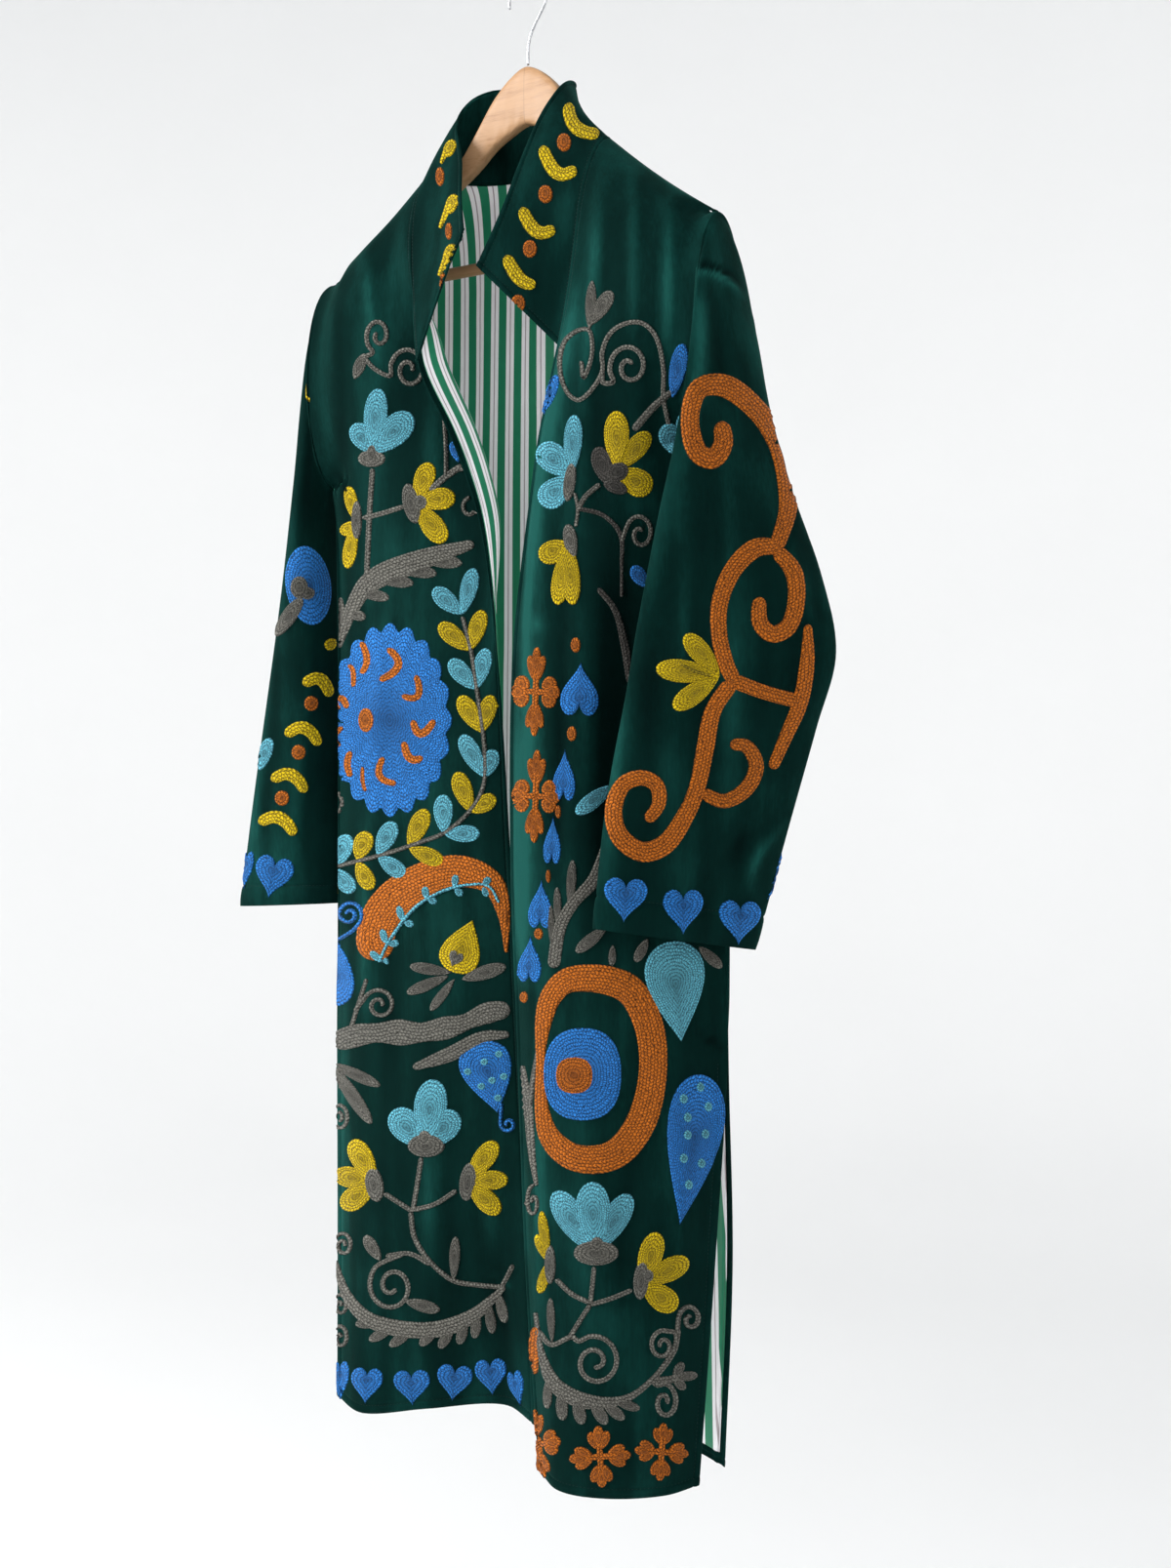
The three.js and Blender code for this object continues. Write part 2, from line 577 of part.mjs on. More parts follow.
// Hook: a straight shank and an open bend of round wire.
function hookGeometry() {
  const radius = HOOK_INNER + HOOK_WIRE;
  const centreZ = -HOOK_INNER;
  const path = [];
  path.push([0, 0, -89.6], [0, 0, -74], [1.5, 0, -62], [8, 0, -50]);
  for (let a = -38; a <= 196; a += 13) {
    const angle = (a * Math.PI) / 180;
    path.push([radius * Math.cos(angle), 0, centreZ + radius * Math.sin(angle)]);
  }
  const n = 8;
  const positions = [];
  path.forEach((p, k) => {
    const before = path[Math.max(0, k - 1)];
    const after = path[Math.min(path.length - 1, k + 1)];
    const along = unit(sub(after, before));
    const sideways = [0, 1, 0];
    const other = cross(along, sideways);
    for (let i = 0; i < n; i += 1) {
      const a = (2 * Math.PI * i) / n;
      positions.push(...add(p, add(scale(sideways, HOOK_WIRE * Math.cos(a)),
        scale(other, HOOK_WIRE * Math.sin(a)))));
    }
  });
  const index = [];
  for (let r = 0; r < path.length - 1; r += 1) {
    for (let i = 0; i < n; i += 1) {
      const a = r * n + i;
      const b = r * n + ((i + 1) % n);
      index.push(a, b, b + n, a, b + n, a + n);
    }
  }
  const end = (path.length - 1) * n;
  for (let i = 1; i < n - 1; i += 1) {
    index.push(0, i + 1, i);
    index.push(end, end + i, end + i + 1);
  }
  return solid(positions, index);
}
addPart('hook', hookGeometry(), 'steel');

export default group;
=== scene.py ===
"""Velvet long jacket with chain-stitch embroidery and a striped satin lining, on a wooden hanger.

Sizes are in millimetres in the tables and in metres in the meshes. The origin is the inside top
of the hook's bend, +Z is up, the front faces -Y and the wearer's left is +X.
"""
import json
import math

import bpy
import numpy as np
from bpy.props import FloatProperty, FloatVectorProperty, PointerProperty
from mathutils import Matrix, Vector, kdtree

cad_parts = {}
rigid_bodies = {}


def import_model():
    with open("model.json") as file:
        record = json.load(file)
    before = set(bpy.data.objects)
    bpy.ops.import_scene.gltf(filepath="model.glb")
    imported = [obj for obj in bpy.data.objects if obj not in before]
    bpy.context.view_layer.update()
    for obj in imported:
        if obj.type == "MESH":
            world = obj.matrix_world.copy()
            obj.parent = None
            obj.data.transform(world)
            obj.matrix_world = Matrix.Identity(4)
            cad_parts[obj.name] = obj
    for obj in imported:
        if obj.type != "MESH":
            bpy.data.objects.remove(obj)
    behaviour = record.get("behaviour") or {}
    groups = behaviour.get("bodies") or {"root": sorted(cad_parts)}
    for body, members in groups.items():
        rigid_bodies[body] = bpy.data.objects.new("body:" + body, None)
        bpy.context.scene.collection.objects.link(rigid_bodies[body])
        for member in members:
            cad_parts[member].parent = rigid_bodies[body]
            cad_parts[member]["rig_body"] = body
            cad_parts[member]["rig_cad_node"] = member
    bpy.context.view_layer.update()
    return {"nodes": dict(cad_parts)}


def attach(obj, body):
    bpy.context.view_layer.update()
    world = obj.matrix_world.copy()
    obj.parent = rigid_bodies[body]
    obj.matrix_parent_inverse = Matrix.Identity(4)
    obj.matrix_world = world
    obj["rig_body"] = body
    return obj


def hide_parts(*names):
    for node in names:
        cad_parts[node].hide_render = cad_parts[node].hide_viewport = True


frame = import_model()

bl_info = {
    "name": "Embroidered Velvet Jacket",
    "version": (1, 0, 0),
    "blender": (4, 5, 0),
    "location": "3D View > Sidebar > Jacket",
    "description": "Makes a lined velvet long jacket with chain-stitch embroidery on a hanger",
    "category": "Object",
}

MM = 0.001

# ---------- named sizes of the cut pieces, in millimetres ----------
VELVET = 1.6
COLLAR_WALL = 2.4
LINING = 1.0
LINING_TOP = VELVET + 0.6
SEAM = 0.25
ARMHOLE_X = 232
SHOULDER_TIP_Z = -282
UNDERARM_Z = -500
SHOULDER_DIP = 4
NECK_X = 106
NECK_Z = -186
NAPE_Z = -190
NAPE_Y = 38
RIDGE_NECK_Y = -18
RIDGE_TIP_Y = -24
ARMHOLE_Y = -24
ARMHOLE_HALF_DEPTH = 44
SHOULDER_ROUND = 92
FRONT_TOP_Z = -398
SLIT_TOP_Z = -1068
COLLAR_LIFT = -2.2
STITCH_IN = 8.6
CUFF_STITCH_IN = 22
COLLAR_STITCH_IN = 5.6
STITCH_GAP = 1.1
STITCH_WIDTH = 0.75
FRONT_WIDTH = 262
FRONT_LENGTH = 1270
BACK_WIDTH = 466
BACK_LENGTH = 1262
SLEEVE_LENGTH = 680
SLEEVE_COLUMNS_ROUND = 84
SLEEVE_TUCKED_IN = 2.5
SLEEVE_HEAD_PLAIN = 14
COLLAR_LENGTH = 560
COLLAR_DEPTH = 92
LINING_TOP_EDGE = 2
LINING_HEM = 14

FRONT_COLUMNS = ["z", "side_x", "side_y", "flank_x", "flank_y", "belly_x", "belly_y",
                 "roll_x", "roll_y", "edge_x", "edge_y"]
FRONT_LEFT_ROWS = [
    [-186, 232, -46, 196, -58, 150, -66, 118, -66, 106, -60],
    [-290, 232, -66, 194, -72, 150, -78, 112, -78, 92, -70],
    [-398, 232, -68, 194, -78, 150, -88, 110, -90, 83, -78],
    [-520, 230, -26, 196, -60, 146, -92, 100, -100, 64, -84],
    [-680, 229, -20, 190, -60, 136, -100, 82, -104, 41, -84],
    [-860, 239, -19, 192, -62, 138, -104, 84, -110, 39, -86],
    [-1060, 238, -18, 206, -68, 150, -112, 92, -118, 47, -86],
    [-1260, 231, -30, 209, -78, 156, -118, 98, -118, 56, -86],
    [-1462, 221, -42, 203, -76, 160, -106, 112, -113, 69, -82],
]
FRONT_RIGHT_ROWS = [
    [-186, -232, -46, -196, -58, -150, -62, -118, -60, -106, -54],
    [-262, -232, -64, -194, -66, -146, -66, -106, -56, -86, -58],
    [-304, -232, -67, -193, -70, -142, -70, -62, -58, -72, -66],
    [-345, -232, -68, -192, -74, -140, -74, -30, -54, -66, -76],
    [-398, -232, -68, -190, -76, -134, -76, -35, -54, -60, -88],
    [-470, -231, -42, -186, -68, -122, -72, -24, -54, -27, -94],
    [-560, -230, -25, -182, -60, -104, -72, -2, -56, 0, -82],
    [-680, -230, -22, -178, -58, -96, -76, -12, -66, 9, -66],
    [-860, -231, -22, -176, -56, -92, -72, -16, -68, 18, -58],
    [-1060, -231, -22, -174, -54, -90, -66, -12, -58, 26, -52],
    [-1260, -230, -22, -172, -54, -90, -58, -12, -44, 33, -44],
    [-1462, -226, -28, -170, -52, -96, -34, -22, -12, 34, -34],
]
BACK_COLUMNS = ["z", "left_x", "right_x", "side_y", "mid_y"]
BACK_ROWS = [
    [-186, 232, 232, 4, 38],
    [-388, 232, 232, 19, 34],
    [-520, 230, 230, -23, 32],
    [-680, 229, 230, -19, 31],
    [-860, 239, 231, -18, 30],
    [-1060, 238, 231, -17, 30],
    [-1260, 231, 227, 4, 28],
    [-1462, 215, 214, 18, 24],
]
HEM_LEFT = [-1458, -1461, -1463, -1463, -1461]
HEM_RIGHT = [-1458, -1460, -1446, -1434, -1440]
HEM_BACK_SIDE = -1461
HEM_BACK_MID = -1432
SLEEVE_COLUMNS = ["out_x", "out_y", "out_z", "in_x", "in_y", "in_z", "half", "turn", "drop"]
SLEEVE_LEFT_ROWS = [
    [232, -24, -282, 232, -24, -500, 44, 0, 0],
    [241, -28, -308, 235, -28, -508, 52, 3, 0],
    [250, -36, -362, 236, -34, -524, 54, 9, 0],
    [260, -45, -436, 237, -40, -552, 58, 19, 0],
    [273, -54, -520, 239, -44, -590, 68, 30, 1],
    [284, -62, -604, 244, -38, -636, 84, 38, 3],
    [280, -64, -680, 247, -32, -692, 95, 44, 6],
    [268, -72, -752, 237, -42, -756, 93, 40, 8],
    [250, -84, -850, 221, -60, -852, 89, 37, 10],
    [232, -91, -953, 205, -70, -953, 82, 33, 12],
]
SLEEVE_RIGHT_ROWS = [
    [-232, -24, -282, -232, -24, -500, 44, 0, 0],
    [-242, -24, -316, -234, -24, -508, 44, 0, 0],
    [-255, -23, -384, -236, -22, -528, 43, 0, 0],
    [-268, -23, -462, -238, -19, -560, 41, 0, 0],
    [-284, -23, -544, -239, -15, -606, 39, 0, 0],
    [-306, -24, -650, -240, -10, -682, 35, 0, 0],
    [-327, -25, -756, -240, -7, -772, 34, 0, 0],
    [-346, -26, -856, -239, -5, -862, 32, 0, 0],
    [-362, -26, -944, -239, -3, -938, 30, 0, 0],
]
SIDE_SEAM_ROWS = [[-500, -24], [-620, -22], [-860, -20.5], [-1060, -19.5]]
# Free edge of the collar, from the wearer's right end round the nape to the left end.
COLLAR_TOP_ROWS = [
    [-13, -92, -277], [-35, -66, -231], [-52, -42, -183], [-78, -14, -135], [-79, 10, -105],
    [-60, 30, -92], [0, 56, -99], [28, 44, -100], [42, 12, -109], [49, -18, -127],
    [46, -46, -162], [42, -72, -210], [35, -92, -259], [26, -102, -291], [16, -110, -319],
]
SEAM_ROWS = [0, 0.006, 0.02, 0.042, 0.072, 0.104, 0.135, 0.1663, 0.2]
NAPE_STATIONS = [-0.34, -0.22, -0.11, 0.0, 0.11, 0.22, 0.34]

# Threads, and the camera that looks at the coat a little from its left.
THREADS = {
    "yellow": (0.60, 0.42, 0.004), "orange": (0.48, 0.125, 0.009), "blue": (0.022, 0.19, 0.58),
    "aqua": (0.12, 0.44, 0.56), "grey": (0.15, 0.145, 0.125), "slate": (0.06, 0.056, 0.05),
    "moss": (0.30, 0.22, 0.01),
}
PICTURE = (1200, 1607)
FOCAL = 1907.0
HORIZON = 813.0
CAMERA_TURN = math.radians(33)
EYE = np.array([1066.9, -1536.9, -820.6])


# ---------- small maths ----------
def lerp(a, b, t):
    return a + (b - a) * t


def smooth(t):
    return t * t * (3 - 2 * t)


def unit(a):
    return a / np.maximum(np.linalg.norm(a, axis=-1, keepdims=True), 1e-9)


def through(stations, values, at):
    """Smooth curve through values at stations; values may have one column for each place."""
    st = np.asarray(stations, float)
    val = np.asarray(values, float)
    at = np.clip(np.atleast_1d(np.asarray(at, float)), st[0], st[-1])
    i = np.clip(np.searchsorted(st, at, side="right") - 1, 0, len(st) - 2)
    wide = st if val.ndim == 1 else st[:, None]
    slope = np.empty_like(val)
    slope[0] = (val[1] - val[0]) / (st[1] - st[0])
    slope[-1] = (val[-1] - val[-2]) / (st[-1] - st[-2])
    slope[1:-1] = (val[2:] - val[:-2]) / (wide[2:] - wide[:-2])
    place = np.arange(len(at))
    pick = (lambda a, k: a[k]) if val.ndim == 1 else (lambda a, k: a[k, place])
    h = st[i + 1] - st[i]
    s = (at - st[i]) / h
    s2, s3 = s * s, s * s * s
    return ((2 * s3 - 3 * s2 + 1) * pick(val, i) + (s3 - 2 * s2 + s) * h * pick(slope, i)
            + (3 * s2 - 2 * s3) * pick(val, i + 1) + (s3 - s2) * h * pick(slope, i + 1))


def read(rows, columns, key, name, at):
    keys = [row[columns.index(key)] for row in rows]
    values = [row[columns.index(name)] for row in rows]
    if keys[0] > keys[-1]:
        return through([-k for k in keys], values, -np.asarray(at))
    return through(keys, values, at)


# ---------- the panels' own shapes ----------
STATIONS = [0, 0.22, 0.5, 0.78, 1]
POINTS = ["side", "flank", "belly", "roll", "edge"]


def shoulder_z(x):
    t = np.clip((np.abs(x) - NECK_X) / (ARMHOLE_X - NECK_X), 0, 1)
    return lerp(NECK_Z, SHOULDER_TIP_Z, t) - SHOULDER_DIP * np.sin(np.pi * t)


def ridge_y(x):
    t = np.clip((np.abs(x) - NECK_X) / (ARMHOLE_X - NECK_X), 0, 1)
    return lerp(RIDGE_NECK_Y, RIDGE_TIP_Y, t)


def rounding(drop):
    t = np.clip(drop / SHOULDER_ROUND, 0, 1)
    return np.sqrt(1 - (1 - t) ** 2)


def armhole_y(z, side):
    mid = (SHOULDER_TIP_Z + UNDERARM_Z) / 2
    half = (SHOULDER_TIP_Z - UNDERARM_Z) / 2
    s = np.clip((z - mid) / half, -1, 1)
    return ARMHOLE_Y + side * ARMHOLE_HALF_DEPTH * np.sqrt(1 - s * s)


def side_seam_y(z):
    return through([-row[0] for row in SIDE_SEAM_ROWS], [row[1] for row in SIDE_SEAM_ROWS], -z)


def seam_hold(z):
    return smooth(np.clip((z - SLIT_TOP_Z) / 90, 0, 1))


def front_point(side, u, v):
    """Places on a front: u from the side seam to the front edge, v from shoulder to hem."""
    rows = FRONT_LEFT_ROWS if side > 0 else FRONT_RIGHT_ROWS
    top_x = lerp(ARMHOLE_X, NECK_X, u)
    top = shoulder_z(top_x)
    z = lerp(top, through(STATIONS, HEM_LEFT if side > 0 else HEM_RIGHT, u), v)
    xs = np.array([read(rows, FRONT_COLUMNS, "z", p + "_x", z) for p in POINTS])
    ys = np.array([read(rows, FRONT_COLUMNS, "z", p + "_y", z) for p in POINTS])
    x, y = through(STATIONS, xs, u), through(STATIONS, ys, u)
    near_top = np.clip((z - UNDERARM_Z) / (top - UNDERARM_Z), 0, 1)
    px = lerp(x, side * top_x, smooth(near_top))
    py = lerp(ridge_y(top_x), y, rounding(top - z))
    near = smooth(np.clip(1 - u / 0.3, 0, 1))
    py = np.where(z > UNDERARM_Z, lerp(py, armhole_y(z, -1), near),
                  lerp(py, side_seam_y(z), np.clip(1 - u / 0.035, 0, 1) * seam_hold(z)))
    seam = (u < 1e-6) & (z <= UNDERARM_Z)
    return np.stack([px, py - np.where(seam | (v < 1e-6), SEAM, 0), z], 1)


def back_point(u, v):
    """Places on the back: u from the wearer's right side (-1) to the left side (1)."""
    side = np.where(u < 0, -1.0, 1.0)
    w = np.abs(u)
    neck_u = NECK_X / ARMHOLE_X
    top_x = w * ARMHOLE_X
    inner = np.clip(w / neck_u, 0, 1)
    top = np.where(w < neck_u, lerp(NAPE_Z, NECK_Z, inner * inner), shoulder_z(top_x))
    top_y = np.where(w < neck_u, lerp(NAPE_Y, RIDGE_NECK_Y, inner ** 3), ridge_y(top_x))
    z = lerp(top, lerp(HEM_BACK_MID, HEM_BACK_SIDE, w * w), v)
    half = np.where(u > 0, read(BACK_ROWS, BACK_COLUMNS, "z", "left_x", z),
                    read(BACK_ROWS, BACK_COLUMNS, "z", "right_x", z))
    side_y = read(BACK_ROWS, BACK_COLUMNS, "z", "side_y", z)
    mid_y = read(BACK_ROWS, BACK_COLUMNS, "z", "mid_y", z)
    folds = smooth(np.clip((-420 - z) / 900, 0, 1)) * (1 - w ** 6) * (
        6.5 * np.cos(7.5 * u + 0.6) + 4 * np.cos(13 * u - 0.9))
    g = rounding(top - z)
    py = lerp(top_y, lerp(side_y, mid_y, 1 - w ** 3.2) + folds, g)
    near = smooth(np.clip(1 - (1 - w) / 0.16, 0, 1))
    py = np.where(z > UNDERARM_Z, lerp(py, armhole_y(z, 1), near),
                  lerp(py, side_seam_y(z),
                       np.clip(1 - (1 - w) / 0.028, 0, 1) * seam_hold(z)))
    near_top = smooth(np.clip((z - UNDERARM_Z) / (top - UNDERARM_Z), 0, 1))
    seam = ((w > 1 - 1e-6) & (z <= UNDERARM_Z)) | ((v < 1e-6) & (w >= neck_u))
    return np.stack([side * lerp(half * w, top_x, near_top), py + np.where(seam, SEAM, 0), z], 1)


def sleeve_point(side, turn, t):
    """Places on a sleeve: turn 0 is the outer line and 90 degrees on is the back."""
    rows = SLEEVE_LEFT_ROWS if side > 0 else SLEEVE_RIGHT_ROWS
    value = {name: through(range(len(rows)), [row[k] for row in rows], t)
             for k, name in enumerate(SLEEVE_COLUMNS)}
    outer = np.stack([value["out_x"], value["out_y"], value["out_z"]], 1)
    inner = np.stack([value["in_x"], value["in_y"], value["in_z"]], 1)
    lean = np.radians(value["turn"])
    wide = np.stack([np.sin(lean) * value["half"], np.cos(lean) * value["half"],
                     -value["drop"]], 1)
    p = ((outer + inner) / 2 + (outer - inner) / 2 * np.cos(turn)[:, None]
         + wide * np.sin(turn)[:, None])
    p[:, 0] = np.where(t < 1e-6, side * (ARMHOLE_X + SEAM), p[:, 0])
    return p


def distances(points):
    """How far along a line each of its points lies."""
    return np.concatenate([[0], np.cumsum(np.linalg.norm(np.diff(points, axis=0), axis=1))])


def along_line(points, t):
    points = np.asarray(points, float)
    lengths = distances(points)
    return np.stack([through(lengths / lengths[-1], points[:, k], t) for k in range(3)], 1)


def collar_point(s, h):
    """Places on the collar: s from the wearer's right end to the left end, h from seam to edge."""
    rows = np.array(SEAM_ROWS)
    one = np.ones(len(rows))
    right, left = front_point(-1, one, rows), front_point(1, one, rows)
    right = right[right[:, 2] > FRONT_TOP_Z - 2][::-1]
    left = left[left[:, 2] > FRONT_TOP_Z - 2]
    nape = np.array(NAPE_STATIONS)
    seam = np.concatenate([right, back_point(nape, np.zeros(len(nape))), left])
    base, top = along_line(seam, s), along_line(COLLAR_TOP_ROWS, s)
    rise = np.linalg.norm(top - base, axis=1)
    low = COLLAR_LIFT / rise
    k = low + (1 - low) * h
    return base + (top - base) * k[:, None]


# ---------- cloth as a grid of points ----------
FREE_EDGE = [0, 0.7, 1.8, 3.2, 4.8, 6.4, 7.6, STITCH_IN, 9.6, 11, 13.5]
PLAIN_EDGE = [0, 0.8, 2.4, 4.5]
CUFF_EDGE = [0, 0.7, 2, 4, 7, 11, 15, 18.5, 20.8, CUFF_STITCH_IN, 23.2, 25.5]
COLLAR_EDGE = [0, 0.7, 1.8, 3.2, 4.6, COLLAR_STITCH_IN, 6.6, 8.5]


def spaced(length, pitch, start, end):
    """Distances from 0 to length that crowd at both ends as their edges ask."""
    a, b = start[-1], length - end[-1]
    middle = np.linspace(a, b, max(2, int(round((b - a) / pitch)) + 1))[1:-1]
    return np.concatenate([start, middle, length - np.array(end)[::-1]])


def turned_edge(e, at=STITCH_IN):
    """Height of a turned edge and its sewn groove at a distance from the edge."""
    e = np.abs(e)
    roll = 0.9 * np.sin(np.pi * np.clip(e / at, 0, 1)) ** 0.8
    return roll - 1.0 * np.exp(-((e - at) / 1.0) ** 2)


class View:
    """Where a place is seen: x to the right and y down, in pixels or flat millimetres."""

    def __init__(self, kind):
        self.kind = kind

    def flat(self, p):
        if self.kind == "camera":
            rel = p - EYE
            c, s = math.cos(CAMERA_TURN), math.sin(CAMERA_TURN)
            depth = rel[..., 1] * c - rel[..., 0] * s
            x = PICTURE[0] / 2 + FOCAL * (rel[..., 0] * c + rel[..., 1] * s) / depth
            return np.stack([x, HORIZON - FOCAL * rel[..., 2] / depth], -1)
        across = {"behind": -p[..., 0], "right": -p[..., 1]}[self.kind]
        return np.stack([across, -p[..., 2]], -1)

    def ray(self, p):
        if self.kind == "camera":
            return unit(p - EYE)
        way = {"behind": (0, -1, 0), "right": (1, 0, 0)}[self.kind]
        return np.broadcast_to(np.array(way, float), p.shape)


CAMERA, BEHIND, FROM_RIGHT = (View(kind) for kind in ("camera", "behind", "right"))


class Cloth:
    """A cloth piece as rows and columns of points, in millimetres, with normals that point out."""

    def __init__(self, points, sense, across, down, wrap=False):
        self.points, self.sense, self.wrap = points, sense, wrap
        self.across, self.down = across, down
        # Painted highlight and shade that the creases lay on the velvet's colour, for each point.
        self.nap = np.zeros(points.shape[:2])
        self.measure()

    def measure(self):
        p = self.points
        if self.wrap:
            across = np.roll(p, -1, axis=1) - np.roll(p, 1, axis=1)
        else:
            across = np.gradient(p, axis=1)
        down = np.gradient(p, axis=0)
        self.normals = unit(np.cross(across, down)) * self.sense

    def lift(self, height):
        self.points = self.points + self.normals * height[..., None]
        self.measure()

    def facing(self, view):
        return -(self.normals * view.ray(self.points)).sum(-1)

    def fold(self, view, creases):
        """Lays soft ridges and troughs on what a view sees.

        Each crease is x0, y0, x1, y1, bend, width, height, light: from one place to another in
        the view, its middle moved sideways by bend, with the half width and height in
        millimetres, and light, the painted highlight (above 0) or painted shade (below 0) that it
        lays on the velvet's colour.
        """
        spots = view.flat(self.points)
        seen = np.clip(self.facing(view) / 0.35, 0, 1)
        height = np.zeros(seen.shape)
        for x0, y0, x1, y1, bend, width, rise, light in creases:
            run = np.array([x1 - x0, y1 - y0], float)
            size = np.linalg.norm(run)
            sideways = np.array([-run[1], run[0]]) / size
            t = np.clip(((spots - (x0, y0)) @ run) / size ** 2, 0, 1)
            line = np.array([x0, y0]) + t[..., None] * run + (
                4 * bend * t * (1 - t))[..., None] * sideways
            d = np.linalg.norm(spots - line, axis=-1)
            shape = np.exp(-(d / width) ** 2) * np.sin(np.pi * np.clip(t, 0.04, 0.96)) ** 0.5
            height += rise * shape * seen
            # Ridges add painted highlight and troughs add painted shade to the colour.
            self.nap += light * shape * seen
        self.lift(height)

    def at(self, i, j):
        """Points and normals at fractional columns i and rows j."""
        rows, cols = self.nap.shape
        if self.wrap:
            i0 = np.floor(i).astype(int) % cols
            i1 = (i0 + 1) % cols
            fi = i - np.floor(i)
        else:
            i0 = np.clip(np.floor(i).astype(int), 0, cols - 2)
            i1 = i0 + 1
            fi = np.clip(i - i0, 0, 1)
        j0 = np.clip(np.floor(j).astype(int), 0, rows - 2)
        fj = np.clip(j - j0, 0, 1)

        def blend(grid):
            a = lerp(grid[j0, i0], grid[j0, i1], fi[:, None])
            b = lerp(grid[j0 + 1, i0], grid[j0 + 1, i1], fi[:, None])
            return lerp(a, b, fj[:, None])
        return blend(self.points), unit(blend(self.normals))

    def find(self, view, spots, keep=None):
        """Fractional columns and rows under places of a view, and how far off each one is."""
        rows, cols = self.nap.shape
        flat = view.flat(self.points)
        seen = self.facing(view) > 0.03
        if keep is not None:
            seen &= keep
        near = np.argwhere(seen)
        tree = kdtree.KDTree(len(near))
        for k, (j, i) in enumerate(near):
            tree.insert((flat[j, i, 0], flat[j, i, 1], 0.0), k)
        tree.balance()
        first = near[[tree.find((x, y, 0.0))[1] for x, y in spots]].astype(float)
        j, i = first[:, 0].copy(), first[:, 1].copy()
        start_i, start_j = i.copy(), j.copy()
        grid = np.concatenate([flat, flat[:, :1]], 1) if self.wrap else flat
        last = grid.shape[1] - 2
        for _ in range(9):
            ci = np.floor(i).astype(int)
            ci = ci % cols if self.wrap else np.clip(ci, 0, last)
            cj = np.clip(np.floor(j).astype(int), 0, rows - 2)
            fi = i - np.floor(i) if self.wrap else i - ci
            fj = j - cj
            a, b = grid[cj, ci], grid[cj, ci + 1]
            c, d = grid[cj + 1, ci], grid[cj + 1, ci + 1]
            value = lerp(lerp(a, b, fi[:, None]), lerp(c, d, fi[:, None]), fj[:, None])
            di = lerp(b - a, d - c, fj[:, None])
            dj = lerp(c - a, d - b, fi[:, None])
            err = spots - value
            det = di[:, 0] * dj[:, 1] - di[:, 1] * dj[:, 0]
            det = np.where(np.abs(det) < 1e-3, np.where(det < 0, -1e-3, 1e-3), det)
            i = i + np.clip((err[:, 0] * dj[:, 1] - err[:, 1] * dj[:, 0]) / det, -1.2, 1.2)
            j = np.clip(j + np.clip((di[:, 0] * err[:, 1] - di[:, 1] * err[:, 0]) / det,
                                    -1.2, 1.2), 0, rows - 1)
            if not self.wrap:
                i = np.clip(i, 0, cols - 1)
        reach, _ = self.at(i, j)
        off = np.linalg.norm(view.flat(reach) - spots, axis=1)
        lost = (off > 2.5) | (np.abs(i - start_i) > 6) | (np.abs(j - start_j) > 6)
        i, j = np.where(lost, start_i, i), np.where(lost, start_j, j)
        reach, _ = self.at(i, j)
        return i, j, np.linalg.norm(view.flat(reach) - spots, axis=1)


# ---------- meshes ----------
def new_piece(name, points, faces, uv=None):
    """A piece from points in millimetres, riding on the only body."""
    mesh = bpy.data.meshes.new(name)
    mesh.from_pydata((np.asarray(points) * MM).tolist(), [], faces)
    mesh.polygons.foreach_set("use_smooth", [True] * len(mesh.polygons))
    if uv is not None:
        corner = np.zeros(len(mesh.loops), int)
        mesh.loops.foreach_get("vertex_index", corner)
        layer = mesh.uv_layers.new(name="cloth")
        layer.data.foreach_set("uv", (np.asarray(uv)[corner] * MM).ravel())
    mesh.update()
    piece = bpy.data.objects.new(name, mesh)
    bpy.context.scene.collection.objects.link(piece)
    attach(piece, "root")
    return piece


def wall(name, cloth, first, last, across, down, band=None):
    """Closed shell between two depths under a cloth's surface."""
    rows = slice(None) if band is None else band[0]
    cols = slice(None) if band is None else band[1]
    p, n = cloth.points[rows, cols], cloth.normals[rows, cols]
    r, c = p.shape[:2]
    points = np.concatenate([(p - n * first).reshape(-1, 3), (p - n * last).reshape(-1, 3)])
    faces = []
    spans = c if cloth.wrap else c - 1
    count = r * c

    def quad(a, b, d, e):
        faces.append((a, b, d, e) if cloth.sense > 0 else (e, d, b, a))
    for j in range(r - 1):
        for i in range(spans):
            k = (i + 1) % c
            a, b, d, e = j * c + i, j * c + k, (j + 1) * c + k, (j + 1) * c + i
            quad(a, b, d, e)
            quad(a + count, e + count, d + count, b + count)
    for i in range(spans):
        k = (i + 1) % c
        quad(k, i, i + count, k + count)
        low = (r - 1) * c
        quad(low + i, low + k, low + k + count, low + i + count)
    if not cloth.wrap:
        for j in range(r - 1):
            a, b = j * c, (j + 1) * c
            quad(a, b, b + count, a + count)
            quad(b + c - 1, a + c - 1, a + c - 1 + count, b + c - 1 + count)
    uv = np.stack([np.broadcast_to(across, (r, c)), np.broadcast_to(down, (r, c))], -1)
    piece = new_piece(name, points, faces, np.tile(uv.reshape(-1, 2), (2, 1)))
    # The points' painted crease highlight and shade go with the mesh, for the velvet's colour.
    nap = piece.data.attributes.new("nap", "FLOAT", "POINT")
    nap.data.foreach_set("value", np.tile(cloth.nap[rows, cols].ravel(), 2))
    return piece


